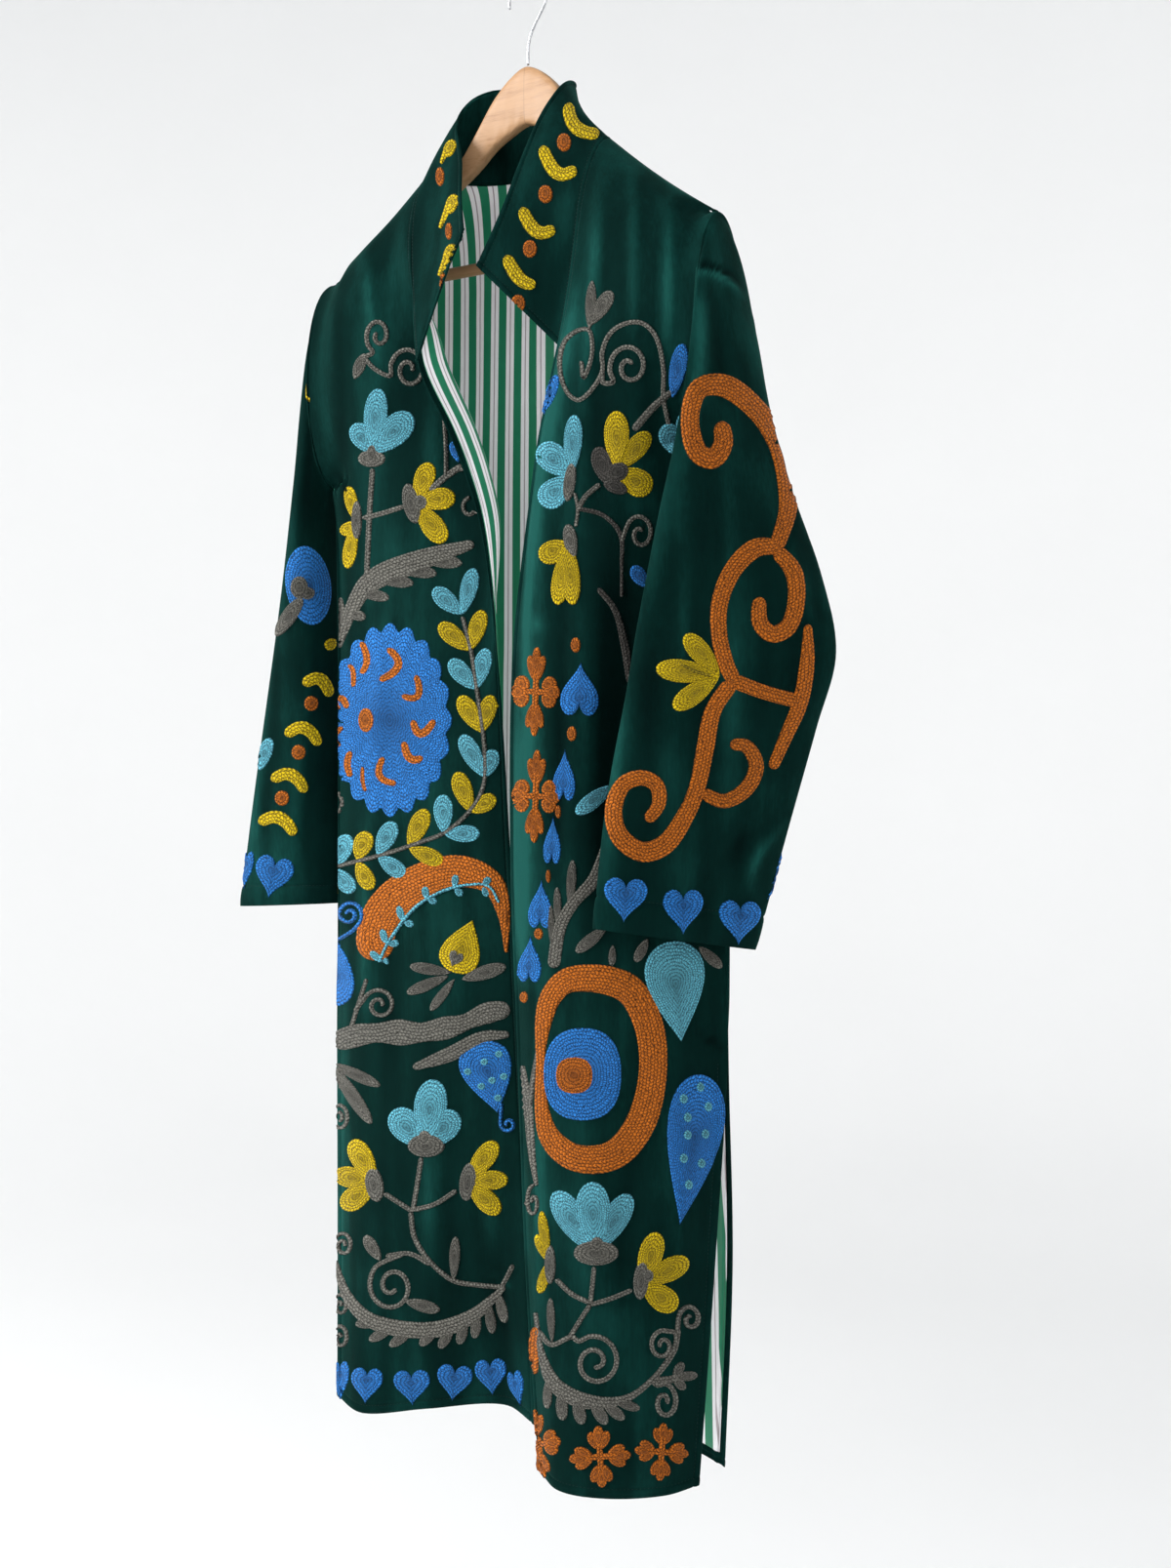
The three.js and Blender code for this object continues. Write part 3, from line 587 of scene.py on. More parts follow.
# ---------- needlework ----------
class Needlework:
    """Chain-stitched shapes drawn in a view, each worked in rows along its own outline."""

    def __init__(self):
        self.spots, self.heights, self.uv, self.colours, self.faces = [], [], [], [], []
        self.layer = 0.0

    def _keep(self, spots, heights, uv, colour, faces):
        first = sum(len(s) for s in self.spots)
        tint = np.array(THREADS[colour] if isinstance(colour, str) else colour)
        shade = 1 + 0.07 * math.sin(first * 1.7)
        self.spots.append(np.asarray(spots, float))
        self.heights.append(np.asarray(heights, float) + self.layer)
        self.uv.append(np.asarray(uv, float))
        self.colours.append(np.tile(tint * shade, (len(spots), 1)))
        self.faces.extend(tuple(first + k for k in face) for face in faces)
        self.layer = (self.layer + 0.07) % 0.42

    def shape(self, x, y, outline, colour, lift=0.0):
        """A filled shape round x, y; its outline is given from there, clockwise as seen."""
        outline = np.asarray(outline, float)
        n = len(outline)
        mean = np.linalg.norm(outline, axis=1).mean()
        insets = [0, 0.55, 1.5]
        step = 3.2 if mean < 26 else 5.5
        while insets[-1] + step < mean * 0.93:
            insets.append(insets[-1] + step)
        heights = [-0.6, 0.65, 1.15] + [1.25] * (len(insets) - 3)
        closed = np.vstack([outline, outline[:1]])
        along = distances(closed)
        spots, high, uv = [], [], []
        for inset, height in zip(insets, heights):
            k = 1 - inset / mean
            spots.append(closed * k + (x, y))
            high.append(np.full(n + 1, height + lift))
            uv.append(np.stack([along, np.full(n + 1, inset)], 1))
        spots.append(np.array([[x, y]]))
        high.append(np.array([1.25 + lift]))
        uv.append(np.array([[along[-1] / 2, mean]]))
        faces = []
        rings = len(insets)
        for r in range(rings - 1):
            for k in range(n):
                a, b = r * (n + 1) + k, (r + 1) * (n + 1) + k
                faces.append((a, a + 1, b + 1, b))
        last, centre = (rings - 1) * (n + 1), rings * (n + 1)
        faces.extend((last + k, last + k + 1, centre) for k in range(n))
        self._keep(np.concatenate(spots), np.concatenate(high), np.concatenate(uv), colour, faces)

    def disc(self, x, y, rx, ry, colour, scallops=0, depth=0.0, turn=0.0, lift=0.0, square=0.0):
        n = max(20, int((rx + ry) * 1.1), scallops * 7)
        a = np.linspace(0, 2 * np.pi, n, endpoint=False)
        r = 1 + depth * (np.abs(np.cos(a * scallops / 2)) - 0.6) if scallops else np.ones(n)
        r = r * (1 - square * np.cos(4 * a))
        self.shape(x, y, turned(np.stack([rx * r * np.cos(a), ry * r * np.sin(a)], 1), turn),
                   colour, lift)

    def petal(self, x0, y0, x1, y1, width, colour, point=0.8, tip=0.0, lift=0.0):
        """From its base to its tip; point and tip say how sharp the two ends are."""
        run = np.array([x1 - x0, y1 - y0], float)
        size = np.linalg.norm(run)
        n = max(22, int(size * 0.75))
        a = np.linspace(0, 2 * np.pi, n, endpoint=False)
        wide = np.sin(a) * np.abs(np.sin(a / 2)) ** point * np.abs(np.cos(a / 2)) ** tip
        wide *= width / 2 / np.abs(wide).max()
        middle = 0.5 + 0.08 * (point - tip)
        axis = run / size
        side = np.array([-axis[1], axis[0]])
        outline = ((0.5 - 0.5 * np.cos(a)) * size - middle * size)[:, None] * axis + \
            wide[:, None] * side
        self.shape(x0 + run[0] * middle, y0 + run[1] * middle, outline, colour, lift)

    def fan(self, x, y, tips, colour, point=0.6):
        """Petals from one base, each to its tip and with its width."""
        for x1, y1, width in tips:
            self.petal(x, y, x1, y1, width, colour, point)

    def bloom(self, x, y, tips, colour):
        """A fan whose tips are given from its base."""
        self.fan(x, y, [(x + dx, y + dy, width) for dx, dy, width in tips], colour)

    def leaves(self, rows, colour, point):
        """Petals one after another, each from base to tip with its width."""
        for *ends, width in rows:
            self.petal(*ends, width, colour, point)

    def hearts(self, rows):
        """Blue hearts, each with its place, width, height and turn."""
        for x, y, width, height, turn in rows:
            self.heart(x, y, width, height, "blue", turn)

    def beads(self, places, rx, ry):
        """Small discs on top of a larger shape."""
        for x, y in places:
            self.layer = 0.9
            self.disc(x, y, rx, ry, "aqua")
        self.layer = 0

    def heart(self, x, y, width, height, colour, turn=0.0, lift=0.0):
        a = np.linspace(0, 2 * np.pi, 40, endpoint=False)
        across = np.sin(a) ** 3
        down = -(13 * np.cos(a) - 5 * np.cos(2 * a) - 2 * np.cos(3 * a) - np.cos(4 * a)) / 29
        outline = np.stack([across * width / 2, (down + 0.06) * height], 1)
        self.shape(x, y, turned(outline, turn), colour, lift)

    def drop(self, x, y, width, height, colour, turn=0.0, bend=0.0, lift=0.0):
        """A drop about x, y that hangs with its point down, or as turned."""
        a = np.linspace(0, 2 * np.pi, 44, endpoint=False)
        wide = np.sin(a) * np.abs(np.sin(a / 2)) ** 1.3
        wide *= width / 2 / np.abs(wide).max()
        down = (0.5 + 0.5 * np.cos(a) - 0.42) * height
        outline = np.stack([wide + bend * width * (down / height) ** 2, down], 1)
        self.shape(x, y, turned(outline, turn), colour, lift)

    def clover(self, x, y, width, height, colour, turn=0.0):
        """Four short arms that end in three lobes each, about a small middle."""
        for quarter in range(4):
            for spread, reach, wide in ((-19, 0.43, 0.16), (19, 0.43, 0.16), (0, 0.5, 0.17)):
                a = math.radians(90 * quarter + spread)
                tip = turned(np.array([[math.sin(a) * width * reach,
                                        -math.cos(a) * height * reach]]), turn)[0]
                self.petal(x + tip[0] * 0.3, y + tip[1] * 0.3, x + tip[0], y + tip[1],
                           (height if quarter % 2 else width) * wide, colour, 0.5)
            a = math.radians(90 * quarter)
            tip = turned(np.array([[math.sin(a) * width * 0.3, -math.cos(a) * height * 0.3]]),
                         turn)[0]
            self.line([(x, y), (x + tip[0], y + tip[1])], [7, 5], colour)

    def line(self, points, widths, colour, closed=False, lift=0.0):
        """A band worked along a line; widths are read evenly along it."""
        points = np.asarray(points, float)
        if closed:
            points = np.vstack([points[-1:], points, points[:2]])
        knots = distances(points)
        start, stop = (knots[1], knots[-2]) if closed else (0.0, knots[-1])
        widths = np.atleast_1d(np.asarray(widths, float))
        if len(widths) == 1:
            widths = np.repeat(widths, 2)
        count = max(6, int((stop - start) / 2.6) + 1)
        ends = 0 if closed else min(widths[0] / 2, 4), 0 if closed else min(widths[-1] / 2, 4)
        at = np.unique(np.concatenate([
            start + ends[0] * np.array([0, 0.15, 0.45]), stop - ends[1] * np.array([0.45, 0.15, 0]),
            np.linspace(start + ends[0], stop - ends[1], count)]))
        if len(points) > 2:
            path = np.stack([through(knots, points[:, k], at) for k in range(2)], 1)
        else:
            path = np.stack([np.interp(at, knots, points[:, k]) for k in range(2)], 1)
        share = (at - start) / (stop - start)
        w = through(np.linspace(0, 1, len(widths)), widths, share)
        if not closed:
            for distance, radius in ((at - start, widths[0] / 2), (stop - at, widths[-1] / 2)):
                t = np.clip(distance / max(radius, 0.5), 0, 1)
                w = w * np.maximum(np.sqrt(1 - (1 - t) ** 2), 0.12)
        go = unit(np.gradient(path, axis=0))
        side = np.stack([-go[:, 1], go[:, 0]], 1)
        inner = max(1, int(round(w.max() / 5.5)))
        rim = min(0.55 / max(w.max(), 1.5) * 2, 0.25)
        across = np.concatenate([[-1, -1 + rim], np.linspace(-0.72, 0.72, inner + 1), [1 - rim, 1]])
        high = np.concatenate([[-0.6, 0.6], np.full(inner + 1, 1.15), [0.6, -0.6]])
        m = len(across)
        spots = path[:, None, :] + side[:, None, :] * (w[:, None] * across / 2)[..., None]
        half = w[:, None] * (1 + across) / 2
        uv = np.stack([np.broadcast_to((at - start)[:, None], half.shape), half], -1)
        faces = []
        for k in range(len(at) - 1):
            for c in range(m - 1):
                a = k * m + c
                faces.append((a, a + 1, a + m + 1, a + m))
        self._keep(spots.reshape(-1, 2), np.tile(high + lift, len(at)), uv.reshape(-1, 2),
                   colour, faces)

    def stem(self, *points, width=5.2, colour="grey"):
        self.line(points, [width], colour)

    def spiral(self, x, y, radius, start, turns, width, colour="grey", squash=1.0, lead=()):
        """A curl that winds in from its start angle, in degrees clockwise from the top."""
        a = np.radians(start) + np.linspace(0, 2 * np.pi * turns, max(8, int(abs(turns) * 14)))
        r = radius * np.linspace(1, 0.12, len(a)) ** 0.9
        curl = np.stack([x + squash * r * np.sin(a), y - r * np.cos(a)], 1)
        self.line(np.vstack([np.reshape(lead, (-1, 2)), curl]), [width], colour)

    def bow(self, x0, y0, x1, y1, x2, y2, width, colour="yellow"):
        """A bent crescent from one end over its middle to the other."""
        t = np.linspace(0, 1, 9)
        bend = [(1 - t) ** 2 * a + t * (1 - t) * (4 * m - a - b) + t ** 2 * b
                for a, m, b in ((x0, x1, x2), (y0, y1, y2))]
        self.line(np.stack(bend, 1), [width * 0.85, width * 1.05, width * 0.85], colour)

    def sewn(self, cloth, view, keep=None):
        """The shapes' points on the cloth with the faces that lie on it."""
        spots = np.concatenate(self.spots)
        heights, uv = np.concatenate(self.heights), np.concatenate(self.uv)
        i, j, off = cloth.find(view, spots, keep)
        points, normals = cloth.at(i, j)
        height = np.where(off > 1.6, np.minimum(heights, 0.2), heights)
        points = points + normals * height[:, None]
        faces = [face for face in self.faces if np.sort(off[list(face)])[1] < 1.6]
        return points, normals, faces, uv, np.concatenate(self.colours)


def turned(outline, degrees):
    """An outline turned clockwise as seen."""
    a = math.radians(degrees)
    x, y = outline[:, 0], outline[:, 1]
    return np.stack([x * math.cos(a) - y * math.sin(a), x * math.sin(a) + y * math.cos(a)], 1)


def embroider(name, sewn_parts):
    """One piece from all the needlework on a cloth piece."""
    points, faces, uv, colours = [], [], [], []
    first = 0
    for p, normals, f, t, c in sewn_parts:
        for face in f:
            a, b, d = p[face[0]], p[face[1]], p[face[-1]]
            out = np.dot(np.cross(b - a, d - a), normals[face[0]]) >= 0
            faces.append(tuple(first + k for k in (face if out else face[::-1])))
        points.append(p)
        uv.append(t)
        colours.append(c)
        first += len(p)
    used = sorted({k for face in faces for k in face})
    index = {k: n for n, k in enumerate(used)}
    faces = [tuple(index[k] for k in face) for face in faces]
    pick = np.array(used)
    piece = new_piece(name, np.concatenate(points)[pick], faces, np.concatenate(uv)[pick])
    thread = piece.data.attributes.new("thread", "FLOAT_COLOR", "POINT")
    colour = np.concatenate(colours)[pick]
    thread.data.foreach_set("color", np.concatenate(
        [colour, np.ones((len(colour), 1))], 1).ravel())
    return piece


def topstitch(name, runs, length):
    """A row of small sewn stitches along each run of points with normals."""
    points, faces = [], []
    for line, normals in runs:
        steps = distances(line)
        starts = np.arange(STITCH_GAP, steps[-1] - length, length + STITCH_GAP)

        def place(at):
            return (np.stack([np.interp(at, steps, line[:, k]) for k in range(3)], 1),
                    unit(np.stack([np.interp(at, steps, normals[:, k]) for k in range(3)], 1)))
        a, up = place(starts)
        b, _ = place(starts + length)
        side = unit(np.cross(b - a, up))
        middle = (a + b) / 2
        first = sum(len(p) for p in points)
        count = len(starts)
        half = side * STITCH_WIDTH / 2
        points.append(np.stack([a - up * 0.15, middle + half, b - up * 0.15, middle - half,
                                middle + up * 0.55], 1).reshape(-1, 3))
        for k in range(count):
            o = first + 5 * k
            faces.extend([(o, o + 1, o + 4), (o + 1, o + 2, o + 4), (o + 2, o + 3, o + 4),
                          (o + 3, o, o + 4)])
    piece = new_piece(name, np.concatenate(points), faces)
    return piece


# ---------- materials ----------
class Flow:
    """A value on its way through a material's nodes; arithmetic on it adds Math nodes."""

    def __init__(self, bench, socket):
        self.bench, self.socket = bench, socket

    def __add__(self, other):
        return self.bench.math("ADD", self, other)

    def __mul__(self, other):
        return self.bench.math("MULTIPLY", self, other)

    def __sub__(self, other):
        return self.bench.math("SUBTRACT", self, other)

    def __rsub__(self, other):
        return self.bench.math("SUBTRACT", other, self)

    def __truediv__(self, other):
        return self.bench.math("DIVIDE", self, other)

    __radd__, __rmul__ = __add__, __mul__


class Bench:
    """One material and the nodes on it."""

    def __init__(self, name, finish):
        self.material = bpy.data.materials.new(name)
        self.material.use_nodes = True
        self.tree = self.material.node_tree
        self.shader = self.tree.nodes["Principled BSDF"]
        for socket, value in finish.items():
            self.shader.inputs[socket].default_value = value

    def node(self, kind, settings=None, sockets=None, out=0):
        node = self.tree.nodes.new(kind)
        for name, value in (settings or {}).items():
            if name == "stops":
                ramp = node.color_ramp
                while len(ramp.elements) > 1:
                    ramp.elements.remove(ramp.elements[-1])
                for k, (place, colour) in enumerate(value):
                    stop = ramp.elements[0] if k == 0 else ramp.elements.new(place)
                    stop.position, stop.color = place, (*colour, 1)
            else:
                setattr(node, name, value)
        for name, value in (sockets or {}).items():
            if isinstance(value, Flow):
                self.tree.links.new(value.socket, node.inputs[name])
            else:
                node.inputs[name].default_value = value
        return Flow(self, node.outputs[out])

    def math(self, operation, a, b=0.0):
        return self.node("ShaderNodeMath", {"operation": operation}, {0: a, 1: b})

    def noise(self, vector, scale, detail=2.0, stretch=None):
        if stretch:
            vector = self.node("ShaderNodeMapping", None, {"Vector": vector, "Scale": stretch})
        return self.node("ShaderNodeTexNoise", None,
                         {"Vector": vector, "Scale": scale, "Detail": detail})

    def mix(self, factor, a, b, blend="MIX"):
        return self.node("ShaderNodeMix", {"data_type": "RGBA", "blend_type": blend},
                         {0: factor, 6: a, 7: b}, 2)

    def feed(self, **sockets):
        for name, value in sockets.items():
            self.tree.links.new(value.socket, self.shader.inputs[name.replace("_", " ")])

    def bump(self, height, distance, strength=1.0):
        return self.node("ShaderNodeBump", None,
                         {"Height": height, "Distance": distance, "Strength": strength})


def toned(colour, red, green=None, blue=None):
    """A colour with each channel scaled, or all by the first value."""
    return tuple(c * k for c, k in zip(colour, (red, red if green is None else green,
                                                red if blue is None else blue)))


def velvet_material(tint):
    bench = Bench("cotton velvet", {"Roughness": 0.85, "Specular IOR Level": 0.03,
                                    "Sheen Weight": 0.13, "Sheen Roughness": 0.3,
                                    "Sheen Tint": (0.14, 0.75, 0.58, 1)})
    place = bench.node("ShaderNodeTexCoord", out=3)
    streak = bench.noise(place, 1.0, 2.0, (34, 34, 3))
    cloud = bench.noise(place, 9.0)
    brushed = bench.noise(place, 1.0, 2.0, (420, 420, 90))
    # Painted crease highlight and shade, read from the mesh.
    nap = bench.node("ShaderNodeAttribute", {"attribute_name": "nap"}, out=2)
    # Tone mixes the painted crease highlight and shade with random streaks, clouds and brushing;
    # the brightest stops, up to seven times the tint, are mostly reached by the painted highlight
    # on ridges.
    tone = nap * 0.8 + (streak - 0.5) * 0.9 + (cloud - 0.5) * 0.7 + (brushed - 0.5) * 0.3 + 0.42
    colour = bench.node("ShaderNodeValToRGB", {"stops": [
        (0.0, toned(tint, 0.35, 0.4, 0.42)),
        (0.42, toned(tint, 0.9, 0.95, 0.95)),
        (0.7, toned(tint, 2.6, 2.1, 2.1)),
        (1.0, toned(tint, 7.0, 4.6, 4.6))]}, {0: tone})
    pile = bench.noise(place, 1500.0)
    bench.feed(Base_Color=colour, Normal=bench.bump(pile + brushed * 0.7, 0.0006, 0.35),
               Roughness=tone * -0.12 + 0.93)
    return bench.material


def satin_material(green, white, pitch):
    """Stripes across the cloth's own width: green, and white with a grey middle line."""
    # A faint emission in the stripes' own colour is painted light: it brightens the lining inside
    # the coat, where the lamps reach little.
    bench = Bench("striped satin", {"Specular IOR Level": 0.4, "Sheen Weight": 0.1,
                                    "Sheen Roughness": 0.4, "Emission Strength": 0.2})
    place = bench.node("ShaderNodeUVMap", {"uv_map": "cloth"})
    split = bench.node("ShaderNodeSeparateXYZ", None, {0: place})
    across = bench.math("FRACT", split / (pitch * MM))
    stripe = bench.node("ShaderNodeValToRGB", {"stops": [
        (0.0, green), (0.47, green), (0.485, white), (0.685, white), (0.705, (0.42, 0.36, 0.38)),
        (0.755, (0.42, 0.36, 0.38)), (0.775, white), (0.975, white), (0.99, green)]}, {0: across})
    thread = bench.noise(place, 1.0, 2.0, (2600, 160, 1))
    cloud = bench.noise(place, 30.0)
    colour = bench.mix(1.0, stripe, bench.node("ShaderNodeValToRGB", {"stops": [
        (0.2, (0.82, 0.82, 0.82)), (0.8, (1, 1, 1))]}, {0: thread * 0.6 + cloud * 0.4}),
        "MULTIPLY")
    # The emission colour is the stripes' colour: the painted glow.
    bench.feed(Base_Color=colour, Emission_Color=colour, Roughness=thread * 0.2 + 0.32,
               Normal=bench.bump(thread, 0.0002, 0.35))
    return bench.material


def chain_stitch_material(row_width):
    """Rows of chain stitch: each row is a ridge with slanting loops, with painted shade in the gaps
    and painted highlight on the loops' tops.
    """
    bench = Bench("chain-stitched wool", {"Specular IOR Level": 0.12, "Sheen Weight": 0.02,
                                          "Sheen Roughness": 0.5})
    place = bench.node("ShaderNodeUVMap", {"uv_map": "cloth"})
    wander = bench.noise(place, 260.0)
    along = bench.node("ShaderNodeSeparateXYZ", None, {0: place})
    across = bench.node("ShaderNodeSeparateXYZ", None, {0: place}, 1)
    row = across / (row_width * MM) + (wander - 0.5) * 1.5
    middle = bench.math("ABSOLUTE", bench.math("FRACT", row) - 0.5)
    odd = bench.math("FLOOR", row) * 0.37
    loop = bench.math("FRACT", along / (3.6 * MM) + odd + middle * 0.9 + (wander - 0.5) * 1.2)
    bead = bench.math("SINE", loop * math.pi)
    height = (1.0 - middle * middle * 3.4) * (bead * 0.8 + 0.2)
    fibre = bench.noise(place, 1.0, 3.0, (900, 900, 1))
    thread = bench.node("ShaderNodeAttribute", {"attribute_name": "thread"})
    # Painted shade and highlight: the thread's colour is darkened in the gaps between rows and
    # loops and lifted above its own colour on their tops.
    shade = bench.node("ShaderNodeValToRGB", {"stops": [
        (0.08, (0.07, 0.07, 0.07)), (0.36, (0.6, 0.6, 0.6)), (0.9, (1.22, 1.22, 1.22))]},
        {0: height * 0.95 + (fibre - 0.5) * 0.4})
    bench.feed(Base_Color=bench.mix(1.0, thread, shade, "MULTIPLY"),
               Roughness=fibre * 0.25 + 0.55,
               Normal=bench.bump(height + fibre * 0.3, 0.0016, 1.0))
    return bench.material


def sewing_thread_material(tint):
    bench = Bench("green sewing thread", {"Specular IOR Level": 0.3})
    place = bench.node("ShaderNodeTexCoord", out=3)
    ply = bench.noise(place, 1800.0)
    bench.feed(Base_Color=bench.node("ShaderNodeValToRGB", {"stops": [
        (0.3, toned(tint, 0.6)),
        (0.75, toned(tint, 1.6, 1.5, 1.5))]}, {0: ply}),
        Roughness=ply * 0.3 + 0.45)
    return bench.material


def beech_material(tint):
    bench = Bench("lacquered beech", {"Specular IOR Level": 0.3, "Coat Roughness": 0.3})
    place = bench.node("ShaderNodeTexCoord", out=3)
    grain = bench.noise(place, 1.0, 4.0, (10, 160, 160))
    fleck = bench.noise(place, 1.0, 2.0, (90, 900, 900))
    joint = bench.math("COMPARE", bench.node("ShaderNodeSeparateXYZ", None, {0: place}), 0.0)
    joint.socket.node.inputs[2].default_value = 0.00035
    tone = grain * 0.65 + fleck * 0.35
    wood = bench.node("ShaderNodeValToRGB", {"stops": [
        (0.3, toned(tint, 0.74, 0.66, 0.56)), (0.5, tint),
        (0.75, toned(tint, 1.1, 1.12, 1.16))]}, {0: tone})
    bench.feed(Base_Color=bench.mix(joint * 0.45, wood, (*toned(tint, 0.35), 1.0)),
               Roughness=fleck * 0.2 + 0.32, Normal=bench.bump(tone, 0.0003, 0.3))
    return bench.material


def steel_material():
    bench = Bench("polished steel wire", {"Metallic": 1.0})
    place = bench.node("ShaderNodeTexCoord", out=3)
    drawn = bench.noise(place, 600.0)
    bench.feed(Base_Color=bench.node("ShaderNodeValToRGB", {"stops": [
        (0.3, (0.36, 0.37, 0.38)), (0.7, (0.62, 0.63, 0.65))]}, {0: drawn}),
        Roughness=drawn * 0.2 + 0.16)
    return bench.material


def plaster_material(tint):
    bench = Bench("pale wall paint", {"Roughness": 0.9})
    place = bench.node("ShaderNodeTexCoord", out=3)
    bench.feed(Base_Color=bench.node("ShaderNodeValToRGB", {"stops": [
        (0.3, toned(tint, 0.985)), (0.7, tint)]},
        {0: bench.noise(place, 1.5)}))
    return bench.material


# ---------- settings ----------
class JacketCloth(bpy.types.PropertyGroup):
    velvet: FloatVectorProperty(
        name="Velvet", description="Colour of the velvet", subtype="COLOR",
        default=(0.0011, 0.0145, 0.0122), min=0, max=1)
    stripe_green: FloatVectorProperty(
        name="Green stripe", description="Colour of the lining's green stripes",
        subtype="COLOR", default=(0.012, 0.20, 0.10), min=0, max=1)
    stripe_white: FloatVectorProperty(
        name="White stripe", description="Colour of the lining's white stripes",
        subtype="COLOR", default=(0.92, 0.90, 0.93), min=0, max=1)
    stripe_repeat: FloatProperty(
        name="Stripe repeat", description="From one white stripe to the next, in millimetres",
        default=19.5, min=5, max=60)
    nap_height: FloatProperty(
        name="Crease height", description="How strongly the placed creases stand out",
        default=1.0, min=0, max=2)


class JacketStitching(bpy.types.PropertyGroup):
    row_width: FloatProperty(
        name="Stitch row", description="Width of one row of chain stitch, in millimetres",
        default=3.4, min=1, max=8)
    stitch_length: FloatProperty(
        name="Topstitch", description="Length of one topstitch, in millimetres",
        default=2.6, min=1, max=8)


class JacketHanger(bpy.types.PropertyGroup):
    wood: FloatVectorProperty(
        name="Wood", description="Colour of the hanger's wood", subtype="COLOR",
        default=(0.44, 0.25, 0.125), min=0, max=1)


class JacketStage(bpy.types.PropertyGroup):
    wall: FloatVectorProperty(
        name="Wall", description="Colour of the floor and wall", subtype="COLOR",
        default=(0.90, 0.90, 0.895), min=0, max=1)
    floor: FloatProperty(
        name="Floor", description="Height of the floor", default=-1.95, unit="LENGTH")
    lamp: FloatProperty(
        name="Lamp", description="Strength of the large soft lamp at the left, in watts",
        default=158.0, min=0)
    sky: FloatProperty(
        name="Sky", description="Strength of the even light all round", default=0.54, min=0)


# ---------- the cloth pieces ----------
PIECES = {}


def settings():
    return bpy.context.scene


def grid_of(maker, across, down):
    """A maker's places for each pair of an across and a down value, row by row."""
    grid_across, grid_down = np.meshgrid(across, down)
    return maker(grid_across.ravel(), grid_down.ravel()).reshape(len(down), len(across), 3)


def slit_share(points):
    return np.clip((SLIT_TOP_Z - points[..., 2]) / 6, 0, 1)


def front_cloth(side):
    across = spaced(FRONT_WIDTH, 4.6, FREE_EDGE, FREE_EDGE)
    down = spaced(FRONT_LENGTH, 7.0, PLAIN_EDGE, FREE_EDGE)
    points = grid_of(lambda u, v: front_point(side, u, v), np.clip(across / FRONT_WIDTH, 0, 1),
                     down / FRONT_LENGTH)
    cloth = Cloth(points, side, across, down)
    free = np.clip((FRONT_TOP_Z - points[..., 2]) / 8, 0, 1)
    relief = turned_edge(FRONT_WIDTH - across)[None, :] * lerp(0.45, 1, free)
    cloth.relief = (relief + turned_edge(FRONT_LENGTH - down)[:, None]
                    + turned_edge(across, 10)[None, :] * slit_share(points))
    return cloth


def back_cloth():
    across = spaced(BACK_WIDTH, 4.8, FREE_EDGE, FREE_EDGE)
    down = spaced(BACK_LENGTH, 7.0, PLAIN_EDGE, FREE_EDGE)
    points = grid_of(back_point, np.clip(across / (BACK_WIDTH / 2) - 1, -1, 1),
                     down / BACK_LENGTH)
    cloth = Cloth(points, 1, across, down)
    cloth.relief = (turned_edge(BACK_LENGTH - down)[:, None] + slit_share(points) * (
        turned_edge(across, 10) + turned_edge(BACK_WIDTH - across, 10))[None, :])
    return cloth


def sleeve_cloth(side):
    rows = SLEEVE_LEFT_ROWS if side > 0 else SLEEVE_RIGHT_ROWS
    down = spaced(SLEEVE_LENGTH, 6.5, PLAIN_EDGE, CUFF_EDGE)
    turn = np.linspace(0, 2 * np.pi, SLEEVE_COLUMNS_ROUND, endpoint=False)
    points = grid_of(lambda a, t: sleeve_point(side, a, t), turn,
                     down / SLEEVE_LENGTH * (len(rows) - 1))
    points[0, :, 0] -= side * SLEEVE_TUCKED_IN
    cloth = Cloth(points, -side, np.degrees(turn), down, True)
    head = np.exp(-((down - 5) / 4.5) ** 2) - 0.6 * np.exp(-(down / 1.6) ** 2)
    cuff = turned_edge(SLEEVE_LENGTH - down, CUFF_STITCH_IN)
    cloth.relief = np.broadcast_to(cuff[:, None], points.shape[:2]) + 1.5 * head[:, None]
    return cloth


def collar_cloth():
    across = spaced(COLLAR_LENGTH, 5.0, COLLAR_EDGE, COLLAR_EDGE)
    up = spaced(COLLAR_DEPTH, 4.5, [0, 1.2, 3.2, 5.5], COLLAR_EDGE)
    cloth = Cloth(grid_of(collar_point, across / COLLAR_LENGTH, up / COLLAR_DEPTH), -1, across, up)
    ends = (turned_edge(across, COLLAR_STITCH_IN)
            + turned_edge(COLLAR_LENGTH - across, COLLAR_STITCH_IN))
    cloth.relief = 0.8 * ends[None, :] + 0.8 * turned_edge(COLLAR_DEPTH - up,
                                                           COLLAR_STITCH_IN)[:, None]
    bow = np.sin(np.pi * np.clip(up / COLLAR_DEPTH, 0, 1)) * 2.0
    cloth.lift(np.broadcast_to(bow[:, None], cloth.nap.shape))
    return cloth


# Creases by view: x0, y0, x1, y1, bend, width, height, light; light is painted highlight (above 0)
# or painted shade (below 0) on the velvet.
FRONT_LEFT_CREASES = [
    (592, 300, 552, 640, 10, 9, 4.2, 0.75), (566, 420, 538, 720, 6, 6, 2.2, 0.7),
    (615, 190, 596, 420, 0, 9, 2.6, 0.55), (648, 175, 652, 330, 0, 8, 2.2, 0.45),
    (686, 205, 684, 360, 0, 7, 2.0, 0.45), (552, 640, 540, 1010, 6, 10, 3.6, 0.85),
    (575, 560, 566, 900, -5, 8, -2.8, -0.5), (640, 560, 625, 940, 0, 26, -5.0, -0.85),
    (560, 1000, 552, 1400, 3, 9, 2.4, 0.5), (590, 1180, 640, 1430, 10, 22, 2.5, 0.35),
    (700, 1080, 690, 1480, 0, 16, 2.2, 0.25), (655, 1080, 640, 1330, 0, 16, -2.2, -0.35),
    (530, 700, 534, 1000, 0, 5, 1.4, 0.6), (618, 380, 608, 560, 0, 12, -2.2, -0.3),
    (668, 380, 690, 520, 6, 12, -2.0, -0.35), (716, 1060, 744, 1075, 0, 3.5, -1.2, -0.5),
]
